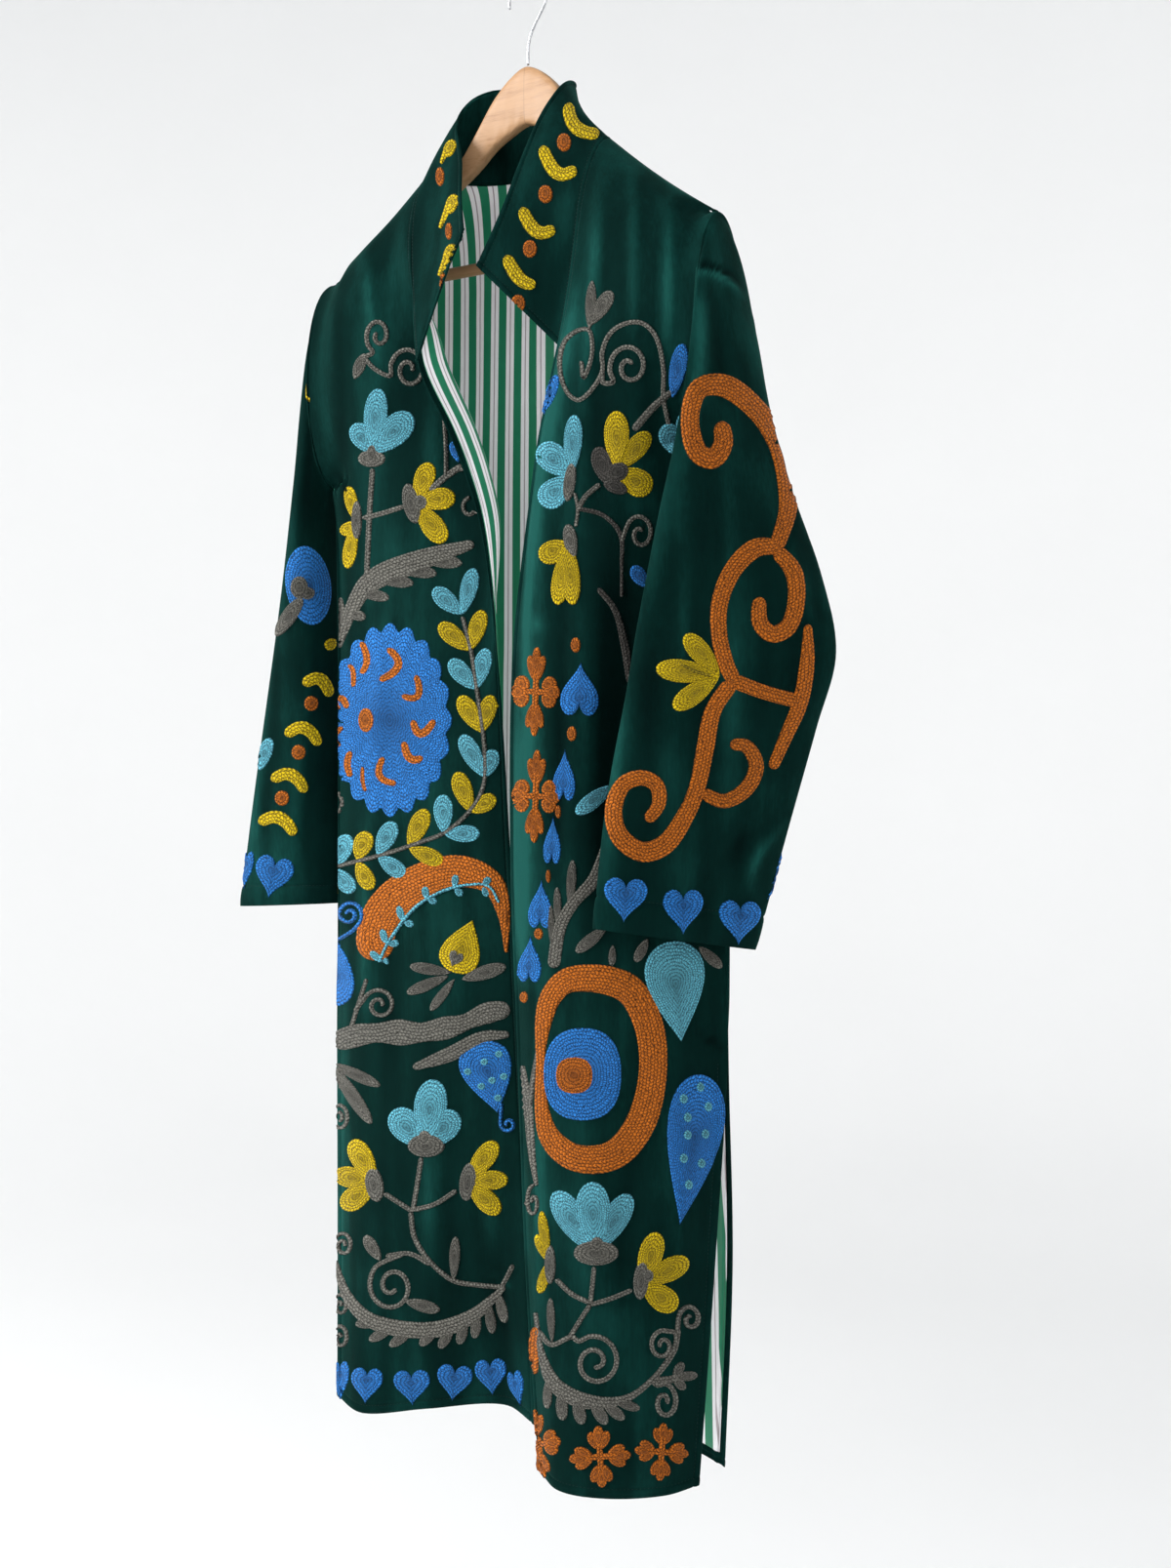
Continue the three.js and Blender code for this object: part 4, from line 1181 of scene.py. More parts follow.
FRONT_RIGHT_CREASES = [
    (372, 245, 384, 360, 0, 8, 1.8, 0.4), (412, 215, 420, 340, 0, 8, 1.6, 0.35),
    (352, 330, 352, 700, 0, 9, -2.2, -0.35), (392, 640, 382, 860, 0, 9, 3.0, 0.45),
    (440, 420, 470, 560, 6, 9, 1.6, 0.3), (412, 860, 404, 1120, 0, 14, -2.4, -0.3),
    (376, 850, 372, 1060, 0, 8, 2.4, 0.4), (450, 1130, 436, 1330, 0, 12, 2.0, 0.3),
    (470, 920, 470, 1080, 0, 10, 2.0, 0.3), (512, 1280, 524, 1440, 4, 10, -2.2, -0.4),
    (505, 1308, 528, 1322, 0, 4, 1.8, 0.5), (495, 1180, 508, 1300, 0, 8, 1.8, 0.35),
    (350, 930, 352, 1440, 0, 7, 1.4, 0.45), (425, 1340, 440, 1440, 0, 10, 1.6, 0.3),
]
SLEEVE_LEFT_CREASES = [
    (706, 272, 762, 296, -9, 2.6, -2.0, -0.8), (705, 279, 760, 303, -9, 4.5, 1.8, 0.7),
    (712, 232, 710, 270, 0, 3.5, 1.6, 0.6), (718, 236, 716, 266, 0, 3, -1.4, -0.6),
    (716, 290, 700, 480, -6, 8, 2.0, 0.6), (735, 300, 742, 420, 0, 9, -2.0, -0.35),
    (688, 480, 664, 640, 0, 12, 1.6, 0.3), (770, 340, 796, 430, 0, 10, 1.8, 0.35),
    (812, 545, 842, 640, 10, 9, 3.0, 0.4), (828, 610, 846, 640, 0, 6, -2.2, -0.4),
    (760, 640, 750, 820, 8, 16, 2.2, 0.3), (800, 850, 766, 905, 6, 6, 2.6, 0.6),
    (776, 850, 742, 900, 6, 9, -2.2, -0.35), (690, 560, 668, 760, 0, 16, -2.0, -0.3),
    (640, 700, 624, 900, 0, 8, 1.8, 0.45), (720, 820, 700, 960, 0, 12, 1.6, 0.25),
]
SLEEVE_RIGHT_CREASES = [
    (340, 332, 322, 420, 0, 6, 1.8, 0.4), (326, 400, 312, 560, 4, 8, -1.8, -0.35),
    (306, 470, 296, 620, 0, 7, 2.0, 0.5), (318, 660, 300, 880, 0, 9, 1.8, 0.3),
    (286, 680, 268, 860, 0, 8, -1.6, -0.3), (268, 760, 256, 900, 0, 6, 1.6, 0.4),
]
COLLAR_CREASES = [
    (572, 100, 530, 215, 0, 8, 1.2, 0.2), (600, 215, 560, 330, 0, 12, -1.4, -0.3),
    (455, 160, 460, 300, 0, 6, 0.8, 0.2),
]
# Seen from behind or from the right, as flat millimetres: x grows to that view's right.
BACK_CREASES = [
    (-120, 300, -150, 900, 10, 16, 3.2, 0.4), (-20, 260, -40, 760, -8, 18, 2.6, 0.35),
    (90, 300, 120, 860, 10, 16, 3.0, 0.4), (40, 700, 60, 1400, 0, 20, -3.0, -0.3),
    (-90, 800, -80, 1420, 0, 16, -2.6, -0.3), (170, 420, 190, 1100, 8, 14, -2.6, -0.35),
    (-180, 460, -190, 1200, -8, 14, 2.6, 0.35), (150, 560, 90, 640, 10, 12, 2.2, 0.3),
    (0, 240, 10, 420, 0, 12, -1.8, -0.25), (-60, 1000, -30, 1420, 0, 12, 2.2, 0.3),
]
SLEEVE_SIDE_CREASES = [
    (-30, 330, -50, 520, 5, 9, 2.2, 0.4), (10, 360, 20, 560, -5, 10, -2.2, -0.35),
    (-20, 560, 25, 620, 8, 9, 3.0, 0.4), (-60, 640, -20, 700, 8, 10, 2.4, 0.35),
    (20, 660, -10, 880, 0, 12, -2.0, -0.3), (-70, 760, -80, 930, 0, 9, 1.8, 0.3),
]


def scaled(creases, k):
    return [row[:6] + (row[6] * k, row[7]) for row in creases]


def weave_cloths():
    """All cloth pieces as grids of points with their creases, made once."""
    if PIECES:
        return PIECES
    k = settings().jacket_cloth.nap_height
    left, right, back = front_cloth(1), front_cloth(-1), back_cloth()
    sleeve_left, sleeve_right, collar = sleeve_cloth(1), sleeve_cloth(-1), collar_cloth()
    # Each fold raises ridges and troughs and also paints highlight and shade along them into the
    # velvet's colour.
    left.fold(CAMERA, scaled(FRONT_LEFT_CREASES, k))
    right.fold(CAMERA, scaled(FRONT_RIGHT_CREASES, k))
    back.fold(BEHIND, scaled(BACK_CREASES, k))
    sleeve_left.fold(CAMERA, scaled(SLEEVE_LEFT_CREASES, k))
    sleeve_left.fold(BEHIND, scaled([(-250, 380, -262, 620, 0, 9, 2.4, 0.4),
                                     (-240, 560, -300, 640, 6, 9, 3.0, 0.4),
                                     (-262, 640, -236, 900, 0, 12, -2.2, -0.3)], k))
    sleeve_right.fold(CAMERA, scaled(SLEEVE_RIGHT_CREASES, k))
    sleeve_right.fold(FROM_RIGHT, scaled([(y, z0, y1, z1, b, w, 0.8 * h, n) for
                                          y, z0, y1, z1, b, w, h, n in SLEEVE_SIDE_CREASES], k))
    collar.fold(CAMERA, scaled(COLLAR_CREASES, k))
    PIECES.update(front_left=left, front_right=right, back=back, sleeve_left=sleeve_left,
                  sleeve_right=sleeve_right, collar=collar)
    for cloth in PIECES.values():
        cloth.lift(cloth.relief)
    return PIECES


def finished(piece, material, slot, *nodes):
    piece.data.materials.append(material)
    if nodes:
        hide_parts(*nodes)
    return piece


MATERIALS = {}


def material(kind):
    """Each finish is made once."""
    if kind not in MATERIALS:
        scene = settings()
        cloth = scene.jacket_cloth
        MATERIALS[kind] = {
            "velvet": lambda: velvet_material(tuple(cloth.velvet)),
            "satin": lambda: satin_material(tuple(cloth.stripe_green), tuple(cloth.stripe_white),
                                            cloth.stripe_repeat),
            "wool": lambda: chain_stitch_material(scene.jacket_stitching.row_width),
            "sewing": lambda: sewing_thread_material(tuple(cloth.velvet)),
            "beech": lambda: beech_material(tuple(scene.jacket_hanger.wood)),
            "steel": steel_material,
            "wall": lambda: plaster_material(tuple(scene.jacket_stage.wall)),
        }[kind]()
    return MATERIALS[kind]


def velvet_piece(name, depth):
    cloth = weave_cloths()[name]
    piece = wall(name + "_velvet", cloth, 0, depth, cloth.across[None, :], cloth.down[:, None])
    return finished(piece, material("velvet"), "velvet", name)


def span(stations, first, last):
    return slice(int(np.searchsorted(stations, first)), int(np.searchsorted(stations, last)) + 1)


def lining_piece(name, cloth, first, last, stripes):
    """Satin under a panel, from its first column to its last, short of the hem."""
    rows = span(cloth.down, LINING_TOP_EDGE, cloth.down[-1] - LINING_HEM)
    cols = span(cloth.across, first, last)
    across = (cloth.points[rows, cols, 0] if stripes == "straight"
              else np.broadcast_to(cloth.across[None, cols], cloth.nap[rows, cols].shape))
    piece = wall(name + "_satin", cloth, LINING_TOP, LINING_TOP + LINING, across,
                 cloth.down[rows][:, None], (rows, cols))
    return finished(piece, material("satin"), "satin", name)


# ---------- needlework by piece; places are in the view's own units ----------
def front_right_flowers(n):
    n.petal(363, 389, 374, 362, 12, "grey", 0.5, 0.3)
    n.spiral(388, 344, 19, 205, 1.35, 5, squash=0.72, lead=[(373, 366)])
    n.spiral(419, 379, 24, 255, 1.6, 5, squash=0.82, lead=[(373, 366), (384, 378)])
    n.fan(381, 466, ((363, 434, 22), (422, 424, 30), (388, 398, 24)), "aqua", 0.7)
    n.disc(381, 470, 14, 9, "grey", lift=0.4)
    n.petal(381, 476, 382, 455, 10, "grey", 0.4, lift=0.55)
    n.stem((382, 480), (379, 525), (376, 592), width=5.5)
    n.stem((372, 531), (392, 526), (414, 519), width=5.5)
    n.fan(426, 515, ((441, 474, 21), (467, 509, 23), (456, 556, 24)), "yellow", 0.7)
    n.disc(422, 516, 9, 21, "grey", turn=-12, lift=0.4)
    n.disc(431, 515, 8, 8, "grey", lift=0.6)
    n.stem((441, 503), (455, 490), (474, 477), width=7)
    n.stem((457, 488), (457, 462), (455, 424), width=4.6)
    n.petal(470, 474, 464, 452, 11, "blue", 0.6)
    n.fan(364, 534, ((357, 498, 13), (350, 548, 13), (356, 583, 14)), "yellow")
    n.disc(366, 533, 5, 20, "grey", lift=0.4)
    n.spiral(484, 522, 13, 350, -0.6, 4.4)
    n.line([(345, 664), (358, 630), (378, 598), (420, 578), (486, 557)], [9, 15, 24, 20, 9],
           "grey")
    n.leaves(((434, 575, 474, 577, 13), (405, 583, 448, 588, 13),
              (382, 592, 424, 598, 13), (366, 606, 399, 613, 12),
              (356, 628, 375, 633, 11), (348, 655, 349, 612, 9)), "grey", 0.5)


def front_right_garland(n):
    n.line([(474, 632), (483, 668), (489, 708), (495, 750), (497, 796), (487, 824), (458, 852),
            (428, 864), (392, 876), (345, 888)], [4.6], "grey", lift=0.4)
    pairs = (("aqua", 474, 630, 444, 603, 486, 582), ("yellow", 482, 667, 450, 639, 495, 625),
             ("aqua", 488, 707, 461, 676, 499, 664), ("yellow", 494, 751, 471, 713, 504, 712),
             ("aqua", 497, 797, 473, 753, 507, 768), ("yellow", 483, 833, 468, 791, 508, 816),
             ("aqua", 455, 855, 454, 814, 492, 854), ("yellow", 419, 869, 437, 829, 455, 884),
             ("aqua", 387, 877, 404, 842, 416, 898), ("yellow", 366, 882, 377, 852, 381, 912),
             ("aqua", 344, 890, 357, 855, 362, 915))
    for colour, x, y, x1, y1, x2, y2 in pairs:
        n.petal(x, y, x1, y1, 20, colour, 0.55)
        n.petal(x, y, x2, y2, 18, colour, 0.55)
    n.petal(338, 880, 342, 925, 12, "yellow", 0.5)
    n.spiral(336, 828, 20, 20, 0.5, 4)


def front_right_roundel(n):
    n.disc(400, 738, 61, 96, "blue", scallops=20, depth=0.10)
    n.disc(376, 738, 8, 13, "orange", lift=0.7)
    for bow in ((371, 658, 377, 676, 371, 690, 8), (398, 665, 409, 682, 390, 697, 9),
                (427, 692, 429, 713, 413, 713, 8), (424, 738, 432, 752, 446, 738, 9),
                (415, 760, 421, 777, 434, 776, 9), (394, 776, 390, 795, 407, 803, 8),
                (373, 786, 373, 800, 376, 811, 5), (361, 770, 357, 783, 361, 796, 8),
                (353, 746, 346, 752, 345, 768, 6), (346, 727, 351, 716, 357, 726, 8),
                (358, 682, 363, 688, 363, 704, 6)):
        n.layer = 0.75
        n.bow(*bow, "orange")
    n.layer = 0


def front_right_paisley(n):
    n.line([(390, 984), (385, 960), (396, 932), (430, 905), (470, 893), (504, 905), (516, 935),
            (519, 976)], [40, 40, 42, 38, 33, 24, 12, 3], "orange")
    n.layer = 0.9
    n.line([(389, 986), (401, 962), (425, 931), (452, 914), (478, 907), (501, 908), (512, 925)],
           [3.4], "aqua")
    for x, y, x1, y1, x2, y2 in ((393, 986, 380, 975, 398, 984), (397, 968, 392, 952, 409, 966),
                                 (414, 945, 409, 928, 424, 948), (438, 922, 436, 908, 448, 924),
                                 (466, 910, 468, 896, 474, 918), (495, 908, 503, 899, 500, 919)):
        n.layer = 1.0
        n.petal(x, y, x1, y1, 8, "aqua", 0.5)
        n.petal(x, y, x2, y2, 8, "aqua", 0.5)
    n.layer = 0
    n.stem((376, 1003), (368, 1028), (358, 1060), width=4.6)
    n.spiral(389, 1030, 17, 290, 1.5, 4.6, lead=[(364, 1036)])
    n.drop(473, 974, 42, 58, "yellow", turn=200)
    n.heart(468, 981, 16, 18, "grey", turn=25, lift=0.7)
    n.leaves(((463, 997, 420, 990, 12), (460, 1000, 417, 1018, 12),
              (466, 1003, 441, 1036, 10)), "grey", 0.5)
    n.petal(473, 1004, 519, 990, 15, "grey", 0.4)
    n.spiral(358, 937, 14, 130, -1.6, 4.2, "blue", lead=[(341, 966), (360, 955)])
    n.drop(346, 1000, 34, 74, "blue", turn=178, bend=0.2)
    n.line([(341, 1068), (372, 1060), (400, 1058), (432, 1058), (470, 1050), (500, 1038),
            (523, 1034)], [20, 24, 20, 27, 20, 24, 17, 22, 16], "grey")
    n.line([(424, 1094), (462, 1080), (495, 1063), (522, 1060)], [7, 15, 14, 7], "grey")
    n.leaves(((341, 1090, 390, 1113, 12), (341, 1092, 381, 1152, 14)), "grey", 0.3)
    n.spiral(348, 1146, 14, 330, 1.6, 4.2, squash=0.7)
    n.drop(500, 1098, 54, 76, "blue", turn=-18, bend=-0.2)
    n.spiral(521, 1152, 8, 270, -1.2, 4, "blue", lead=[(514, 1130)])
    n.beads(((480, 1098), (497, 1088), (512, 1080), (494, 1113), (505, 1107), (517, 1103),
             (511, 1125)), 4.5, 4)


def front_right_hem(n):
    n.fan(436, 1176, ((402, 1138, 32), (469, 1140, 30), (445, 1106, 34)), "aqua")
    n.disc(437, 1174, 19, 12, "grey", lift=0.4)
    n.disc(436, 1166, 7, 8, "grey", lift=0.6)
    n.fan(385, 1212, ((361, 1168, 23), (342, 1203, 22), (350, 1238, 24)), "yellow")
    n.disc(384, 1214, 9, 18, "grey", turn=-10, lift=0.4)
    n.fan(479, 1210, ((509, 1170, 22), (521, 1209, 20), (512, 1244, 22)), "yellow")
    n.disc(480, 1211, 9, 20, "grey", turn=8, lift=0.4)
    n.stem((432, 1186), (428, 1212), (423, 1242))
    n.stem((394, 1223), (422, 1241))
    n.stem((468, 1220), (446, 1234), (424, 1240))
    n.stem((421, 1242), (425, 1268), (440, 1292), (464, 1312), (490, 1317), (514, 1319))
    n.stem((514, 1319), (520, 1308), (526, 1296), width=5)
    n.stem((441, 1296), (420, 1285), (396, 1287), width=5.2)
    n.spiral(402, 1318, 27, 320, -1.55, 5.2, squash=0.9, lead=[(414, 1285)])
    n.leaves(((390, 1292, 374, 1266, 13), (465, 1312, 467, 1267, 11),
              (415, 1333, 451, 1343, 13)), "grey", 0.4)
    n.line([(343, 1290), (356, 1328), (378, 1352), (412, 1362), (450, 1362), (482, 1350),
            (508, 1328), (517, 1318)], [4, 9, 14, 17, 17, 17, 12, 5], "grey")
    for x0, y0, x1, y1 in ((392, 1355, 364, 1357), (404, 1360, 378, 1374), (424, 1362, 399, 1380),
                           (448, 1362, 430, 1379), (464, 1361, 450, 1382), (478, 1354, 470, 1378),
                           (490, 1346, 486, 1372), (500, 1334, 505, 1367), (510, 1324, 518, 1356)):
        n.petal(x0, y0, x1, y1, 11, "grey", 0.35)
    n.spiral(352, 1276, 13, 300, 1.5, 4, squash=0.75)
    n.spiral(349, 1338, 12, 320, 1.4, 3.8, squash=0.65)
    n.spiral(349, 1371, 13, 320, 1.3, 3.8, squash=0.65)
    n.hearts(((349, 1410, 18, 44, 0), (376, 1415, 33, 38, 4), (422, 1417, 38, 37, -2),
              (466, 1412, 37, 38, 6), (503, 1406, 33, 38, -5), (529, 1418, 16, 38, -12)))


def front_left_flowers(n):
    n.petal(604, 338, 607, 287, 11, "grey", 0.5, 0.3)
    n.petal(605, 334, 627, 298, 16, "grey", 0.7)
    n.line([(596, 370), (598, 387), (604, 374), (607, 356), (603, 338), (590, 340), (578, 352),
            (574, 376), (580, 400), (592, 410), (604, 402), (617, 381), (617, 361), (626, 341),
            (643, 331), (660, 332), (673, 347), (680, 379), (680, 408), (686, 437)],
           [4.6, 5.4], "grey")
    n.spiral(645, 376, 25, 232, 1.5, 5.4, squash=0.85, lead=[(617, 381), (618, 392)])
    n.line([(649, 441), (671, 416), (689, 401)], [8, 8, 7], "grey")
    n.petal(689, 408, 700, 352, 18, "blue", 0.5)
    n.petal(556, 425, 571, 384, 12, "blue", 0.6)
    n.fan(585, 488, ((553, 456, 30), (589, 425, 19), (555, 518, 29)), "aqua")
    n.disc(584, 494, 6, 20, "grey", turn=8, lift=0.4)
    n.fan(632, 482, ((632, 421, 26), (666, 443, 22), (668, 503, 29)), "yellow")
    n.petal(624, 498, 612, 458, 21, "slate", 0.5, lift=0.4)
    n.disc(633, 484, 12, 10, "slate", turn=-30, lift=0.5)
    n.disc(631, 499, 13, 7, "slate", turn=20, lift=0.6)
    n.line([(615, 496), (600, 509), (592, 523)], [5.5], "grey")
    n.line([(589, 505), (592, 522), (590, 540)], [4], "grey")
    n.line([(592, 521), (618, 528), (636, 548), (637, 580), (637, 612)], [5, 5, 5.5, 4, 4],
           "slate")
    n.spiral(656, 547, 20, 285, 1.35, 5, squash=0.75, lead=[(637, 555)])
    n.fan(583, 556, ((553, 573, 24), (571, 620, 20), (587, 620, 19)), "yellow", 0.5)
    n.petal(588, 574, 582, 537, 14, "grey", 0.4, lift=0.4)
    n.petal(663, 602, 648, 580, 16, "blue", 0.4)
    n.line([(613, 603), (630, 625), (640, 660), (646, 700)], [6, 7, 9, 8], "slate")


def front_left_border(n):
    for y, h in ((709, 92), (816, 96)):
        n.clover(549, y, 50, h, "orange", turn=2)
    for x, y, rx, ry in ((590, 661, 5, 8), (586, 752, 5, 8), (572, 832, 3, 7), (562, 898, 2.5, 7),
                         (552, 957, 4.5, 6), (537, 1022, 4, 6)):
        n.disc(x, y, rx, ry, "orange")
    n.hearts(((594, 714, 40, 56, 182), (578, 802, 24, 54, 182), (566, 868, 18, 50, 182),
              (554, 934, 25, 50, 182), (543, 990, 24, 48, 182)))
    n.petal(628, 805, 590, 834, 17, "aqua", 0.4)
    n.line([(567, 992), (574, 950), (588, 925), (610, 900), (622, 862)], [13, 13, 12, 14, 8],
           "grey")
    n.leaves(((584, 932, 587, 881, 10), (572, 952, 571, 909, 8),
              (567, 975, 564, 927, 7), (622, 950, 590, 976, 13)), "grey", 0.4)
    n.leaves(((628, 968, 627, 990, 8), (664, 962, 651, 986, 11),
              (716, 970, 740, 992, 12)), "grey", 0.4)
    n.line([(536, 1092), (541, 1130), (545, 1180), (550, 1215)], [4, 9, 8, 4], "grey")
    n.line([(552, 1072), (546, 1110), (543, 1140)], [3, 5, 4], "grey")
    n.spiral(547, 1232, 18, 10, -1.3, 3.6, squash=0.4)


def front_left_medallion(n):
    n.line([(640, 1011), (664, 1048), (669, 1100), (656, 1152), (628, 1184), (588, 1186),
            (561, 1160), (554, 1100), (561, 1030), (584, 1004)],
           [31, 30, 29, 31, 30, 26, 14, 9, 19, 27, 31], "orange", closed=True)
    n.disc(597, 1101, 41, 49, "blue", square=0.03)
    n.disc(589, 1102, 20, 20, "orange", lift=0.7, square=0.03)
    n.drop(692, 1008, 62, 104, "aqua", turn=-4, bend=0.1)
    n.drop(711, 1166, 58, 156, "blue", turn=8, bend=-0.1)
    n.beads(((717, 1114), (700, 1126), (725, 1134), (704, 1145), (722, 1162), (704, 1163),
             (700, 1187), (718, 1192), (705, 1214)), 4.4, 5.4)


def front_left_hem(n):
    n.fan(609, 1284, ((568, 1221, 30), (646, 1224, 27), (607, 1211, 36)), "aqua", 0.55)
    n.disc(611, 1284, 23, 13, "grey", lift=0.4)
    n.disc(612, 1275, 7, 8, "grey", lift=0.6)
    n.fan(657, 1316, ((674, 1263, 25), (706, 1291, 24), (694, 1341, 27)), "yellow")
    n.disc(657, 1312, 8, 20, "grey", turn=5, lift=0.4)
    n.disc(664, 1307, 6, 7, "grey", lift=0.6)
    n.fan(562, 1293, ((555, 1241, 10), (550, 1265, 10), (553, 1326, 11)), "yellow", 0.5)
    n.disc(564, 1296, 5.5, 20, "grey", lift=0.4)
    n.stem((609, 1298), (607, 1318), (605, 1336))
    n.stem((570, 1311), (586, 1326), (604, 1335))
    n.stem((648, 1322), (626, 1331), (606, 1337))
    n.stem((605, 1337), (594, 1354), (583, 1372))
    n.spiral(610, 1396, 28, 320, 1.65, 5.6, squash=0.95,
             lead=[(552, 1364), (565, 1378), (586, 1370)])
    n.petal(566, 1376, 564, 1330, 8, "grey", 0.4)
    n.line([(549, 1345), (556, 1390), (570, 1420), (600, 1436), (640, 1434), (668, 1414),
            (690, 1385), (695, 1362)], [4, 6, 14, 17, 10, 6, 6, 5.5], "grey")
    n.leaves(((562, 1412, 561, 1444, 9), (575, 1424, 577, 1456, 12),
              (590, 1432, 597, 1460, 13), (606, 1436, 622, 1460, 13),
              (618, 1437, 640, 1455, 12), (630, 1436, 656, 1444, 10)), "grey", 0.35)
    n.spiral(679, 1379, 16, 25, -1.4, 5, squash=0.85, lead=[(693, 1376), (692, 1366)])
    n.spiral(707, 1352, 15, 270, 1.3, 5, squash=0.8, lead=[(694, 1366)])
    n.spiral(681, 1437, 20, 330, 1.4, 5.4, squash=0.7, lead=[(668, 1415)])
    n.line([(668, 1414), (685, 1414), (700, 1411)], [6, 8, 9], "grey")
    for x1, y1 in ((700, 1396), (715, 1409), (702, 1424)):
        n.petal(690, 1412, x1, y1, 10, "grey", 0.4)
    n.line([(550, 1360), (547, 1378), (549, 1408)], [9, 10, 5], "orange")
    n.clover(552, 1480, 46, 74, "orange", turn=-8)
    n.clover(615, 1493, 64, 64, "orange", turn=-4)
    n.clover(678, 1488, 56, 60, "orange", turn=4)


def sleeve_left_scroll(n):
    n.line([(739, 432), (741, 455), (730, 470), (714, 462), (707, 428), (717, 398), (744, 396),
            (778, 423), (797, 455), (806, 490), (807, 524), (795, 563)],
           [17, 21, 21, 19, 21, 24, 22, 21, 20, 20, 18, 16], "orange")
    n.line([(799, 560), (774, 562), (752, 583), (738, 616), (737, 650), (744, 680), (753, 699)],
           [16, 20, 19, 18, 17, 17, 16], "orange")
    n.line([(795, 563), (813, 586), (816, 616), (808, 642), (792, 650), (779, 638), (778, 612)],
           [15, 18, 18, 18, 18, 17, 14], "orange")
    n.line([(750, 697), (785, 710), (823, 720)], [16, 15, 15], "orange")
    n.line([(828, 640), (827, 680), (820, 720), (804, 758), (791, 788)], [8, 15, 16, 14, 11],
           "orange")
    n.line([(750, 699), (731, 728), (723, 766), (715, 805), (704, 833), (682, 865), (658, 873),
            (635, 857), (629, 831), (638, 805), (657, 797), (673, 805), (675, 824), (663, 842)],
           [17, 17, 18, 18, 17, 18, 20, 21, 20, 18, 17, 16, 15, 12], "orange")
    n.line([(719, 812), (742, 821), (765, 808), (775, 785), (765, 765), (748, 763)],
           [13, 15, 16, 16, 15, 12], "orange")
    n.fan(738, 692, ((702, 650, 22), (672, 685, 24), (690, 726, 22)), "yellow", 0.7)
    n.line([(728, 693), (712, 688), (696, 680)], [3, 4, 3], "moss", lift=0.8)
    n.hearts(((641, 916, 45, 46, 4), (700, 928, 42, 47, 0), (758, 939, 44, 46, 3)))


def sleeve_right_front(n):
    for x0, y0, x1, y1, x2, y2 in ((319, 412, 324, 388, 342, 388), (311, 702, 328, 696, 338, 714),
                                   (293, 754, 312, 746, 327, 764), (279, 800, 298, 794, 313, 812),
                                   (266, 844, 286, 838, 302, 856)):
        n.bow(x0, y0, x1, y1, x2, y2, 13)
    for x, y in ((334, 415), (319, 721), (306, 771), (289, 818)):
        n.disc(x, y, 7.5, 8, "orange")
    n.disc(316, 600, 23, 41, "blue", turn=-8)
    n.petal(283, 652, 310, 612, 15, "grey", 0.2, lift=0.6)
    n.disc(307, 602, 9, 12, "grey", lift=0.7)
    n.disc(315, 608, 8, 7, "grey", lift=0.8)
    n.petal(266, 790, 277, 756, 14, "aqua", 0.4)
    n.hearts(((281, 893, 40, 44, 12), (253, 886, 14, 40, 6)))
    n.leaves(((341, 446, 339, 468, 8), (344, 655, 334, 665, 12)), "yellow", 0.4)


def collar_left_leaf(n):
    for bow in ((583, 106, 590, 130, 614, 137), (556, 150, 571, 177, 590, 172),
                (535, 213, 550, 237, 568, 233), (519, 262, 533, 286, 549, 290)):
        n.bow(*bow, 14)
    for x, y in ((578, 146), (559, 199), (543, 255), (531, 311)):
        n.disc(x, y, 7.4, 9.5, "orange")


def collar_right_leaf(n):
    for x, y, rx, ry, turn in ((461, 152, 6, 10, 25), (463, 209, 6, 11, 20), (461, 260, 6, 11, 20)):
        n.disc(x, y, rx, ry, "yellow", turn=turn)
    for x0, y0, x1, y1 in ((451, 234, 462, 206), (450, 283, 461, 256), (452, 326, 456, 300),
                           (452, 168, 460, 148)):
        n.line([(x0, y0), (x1, y1)], [3, 8], "yellow")
    for x, y, rx, ry in ((451, 181, 4.5, 10), (460, 237, 3.4, 9), (454, 289, 3, 10)):
        n.disc(x, y, rx, ry, "orange")


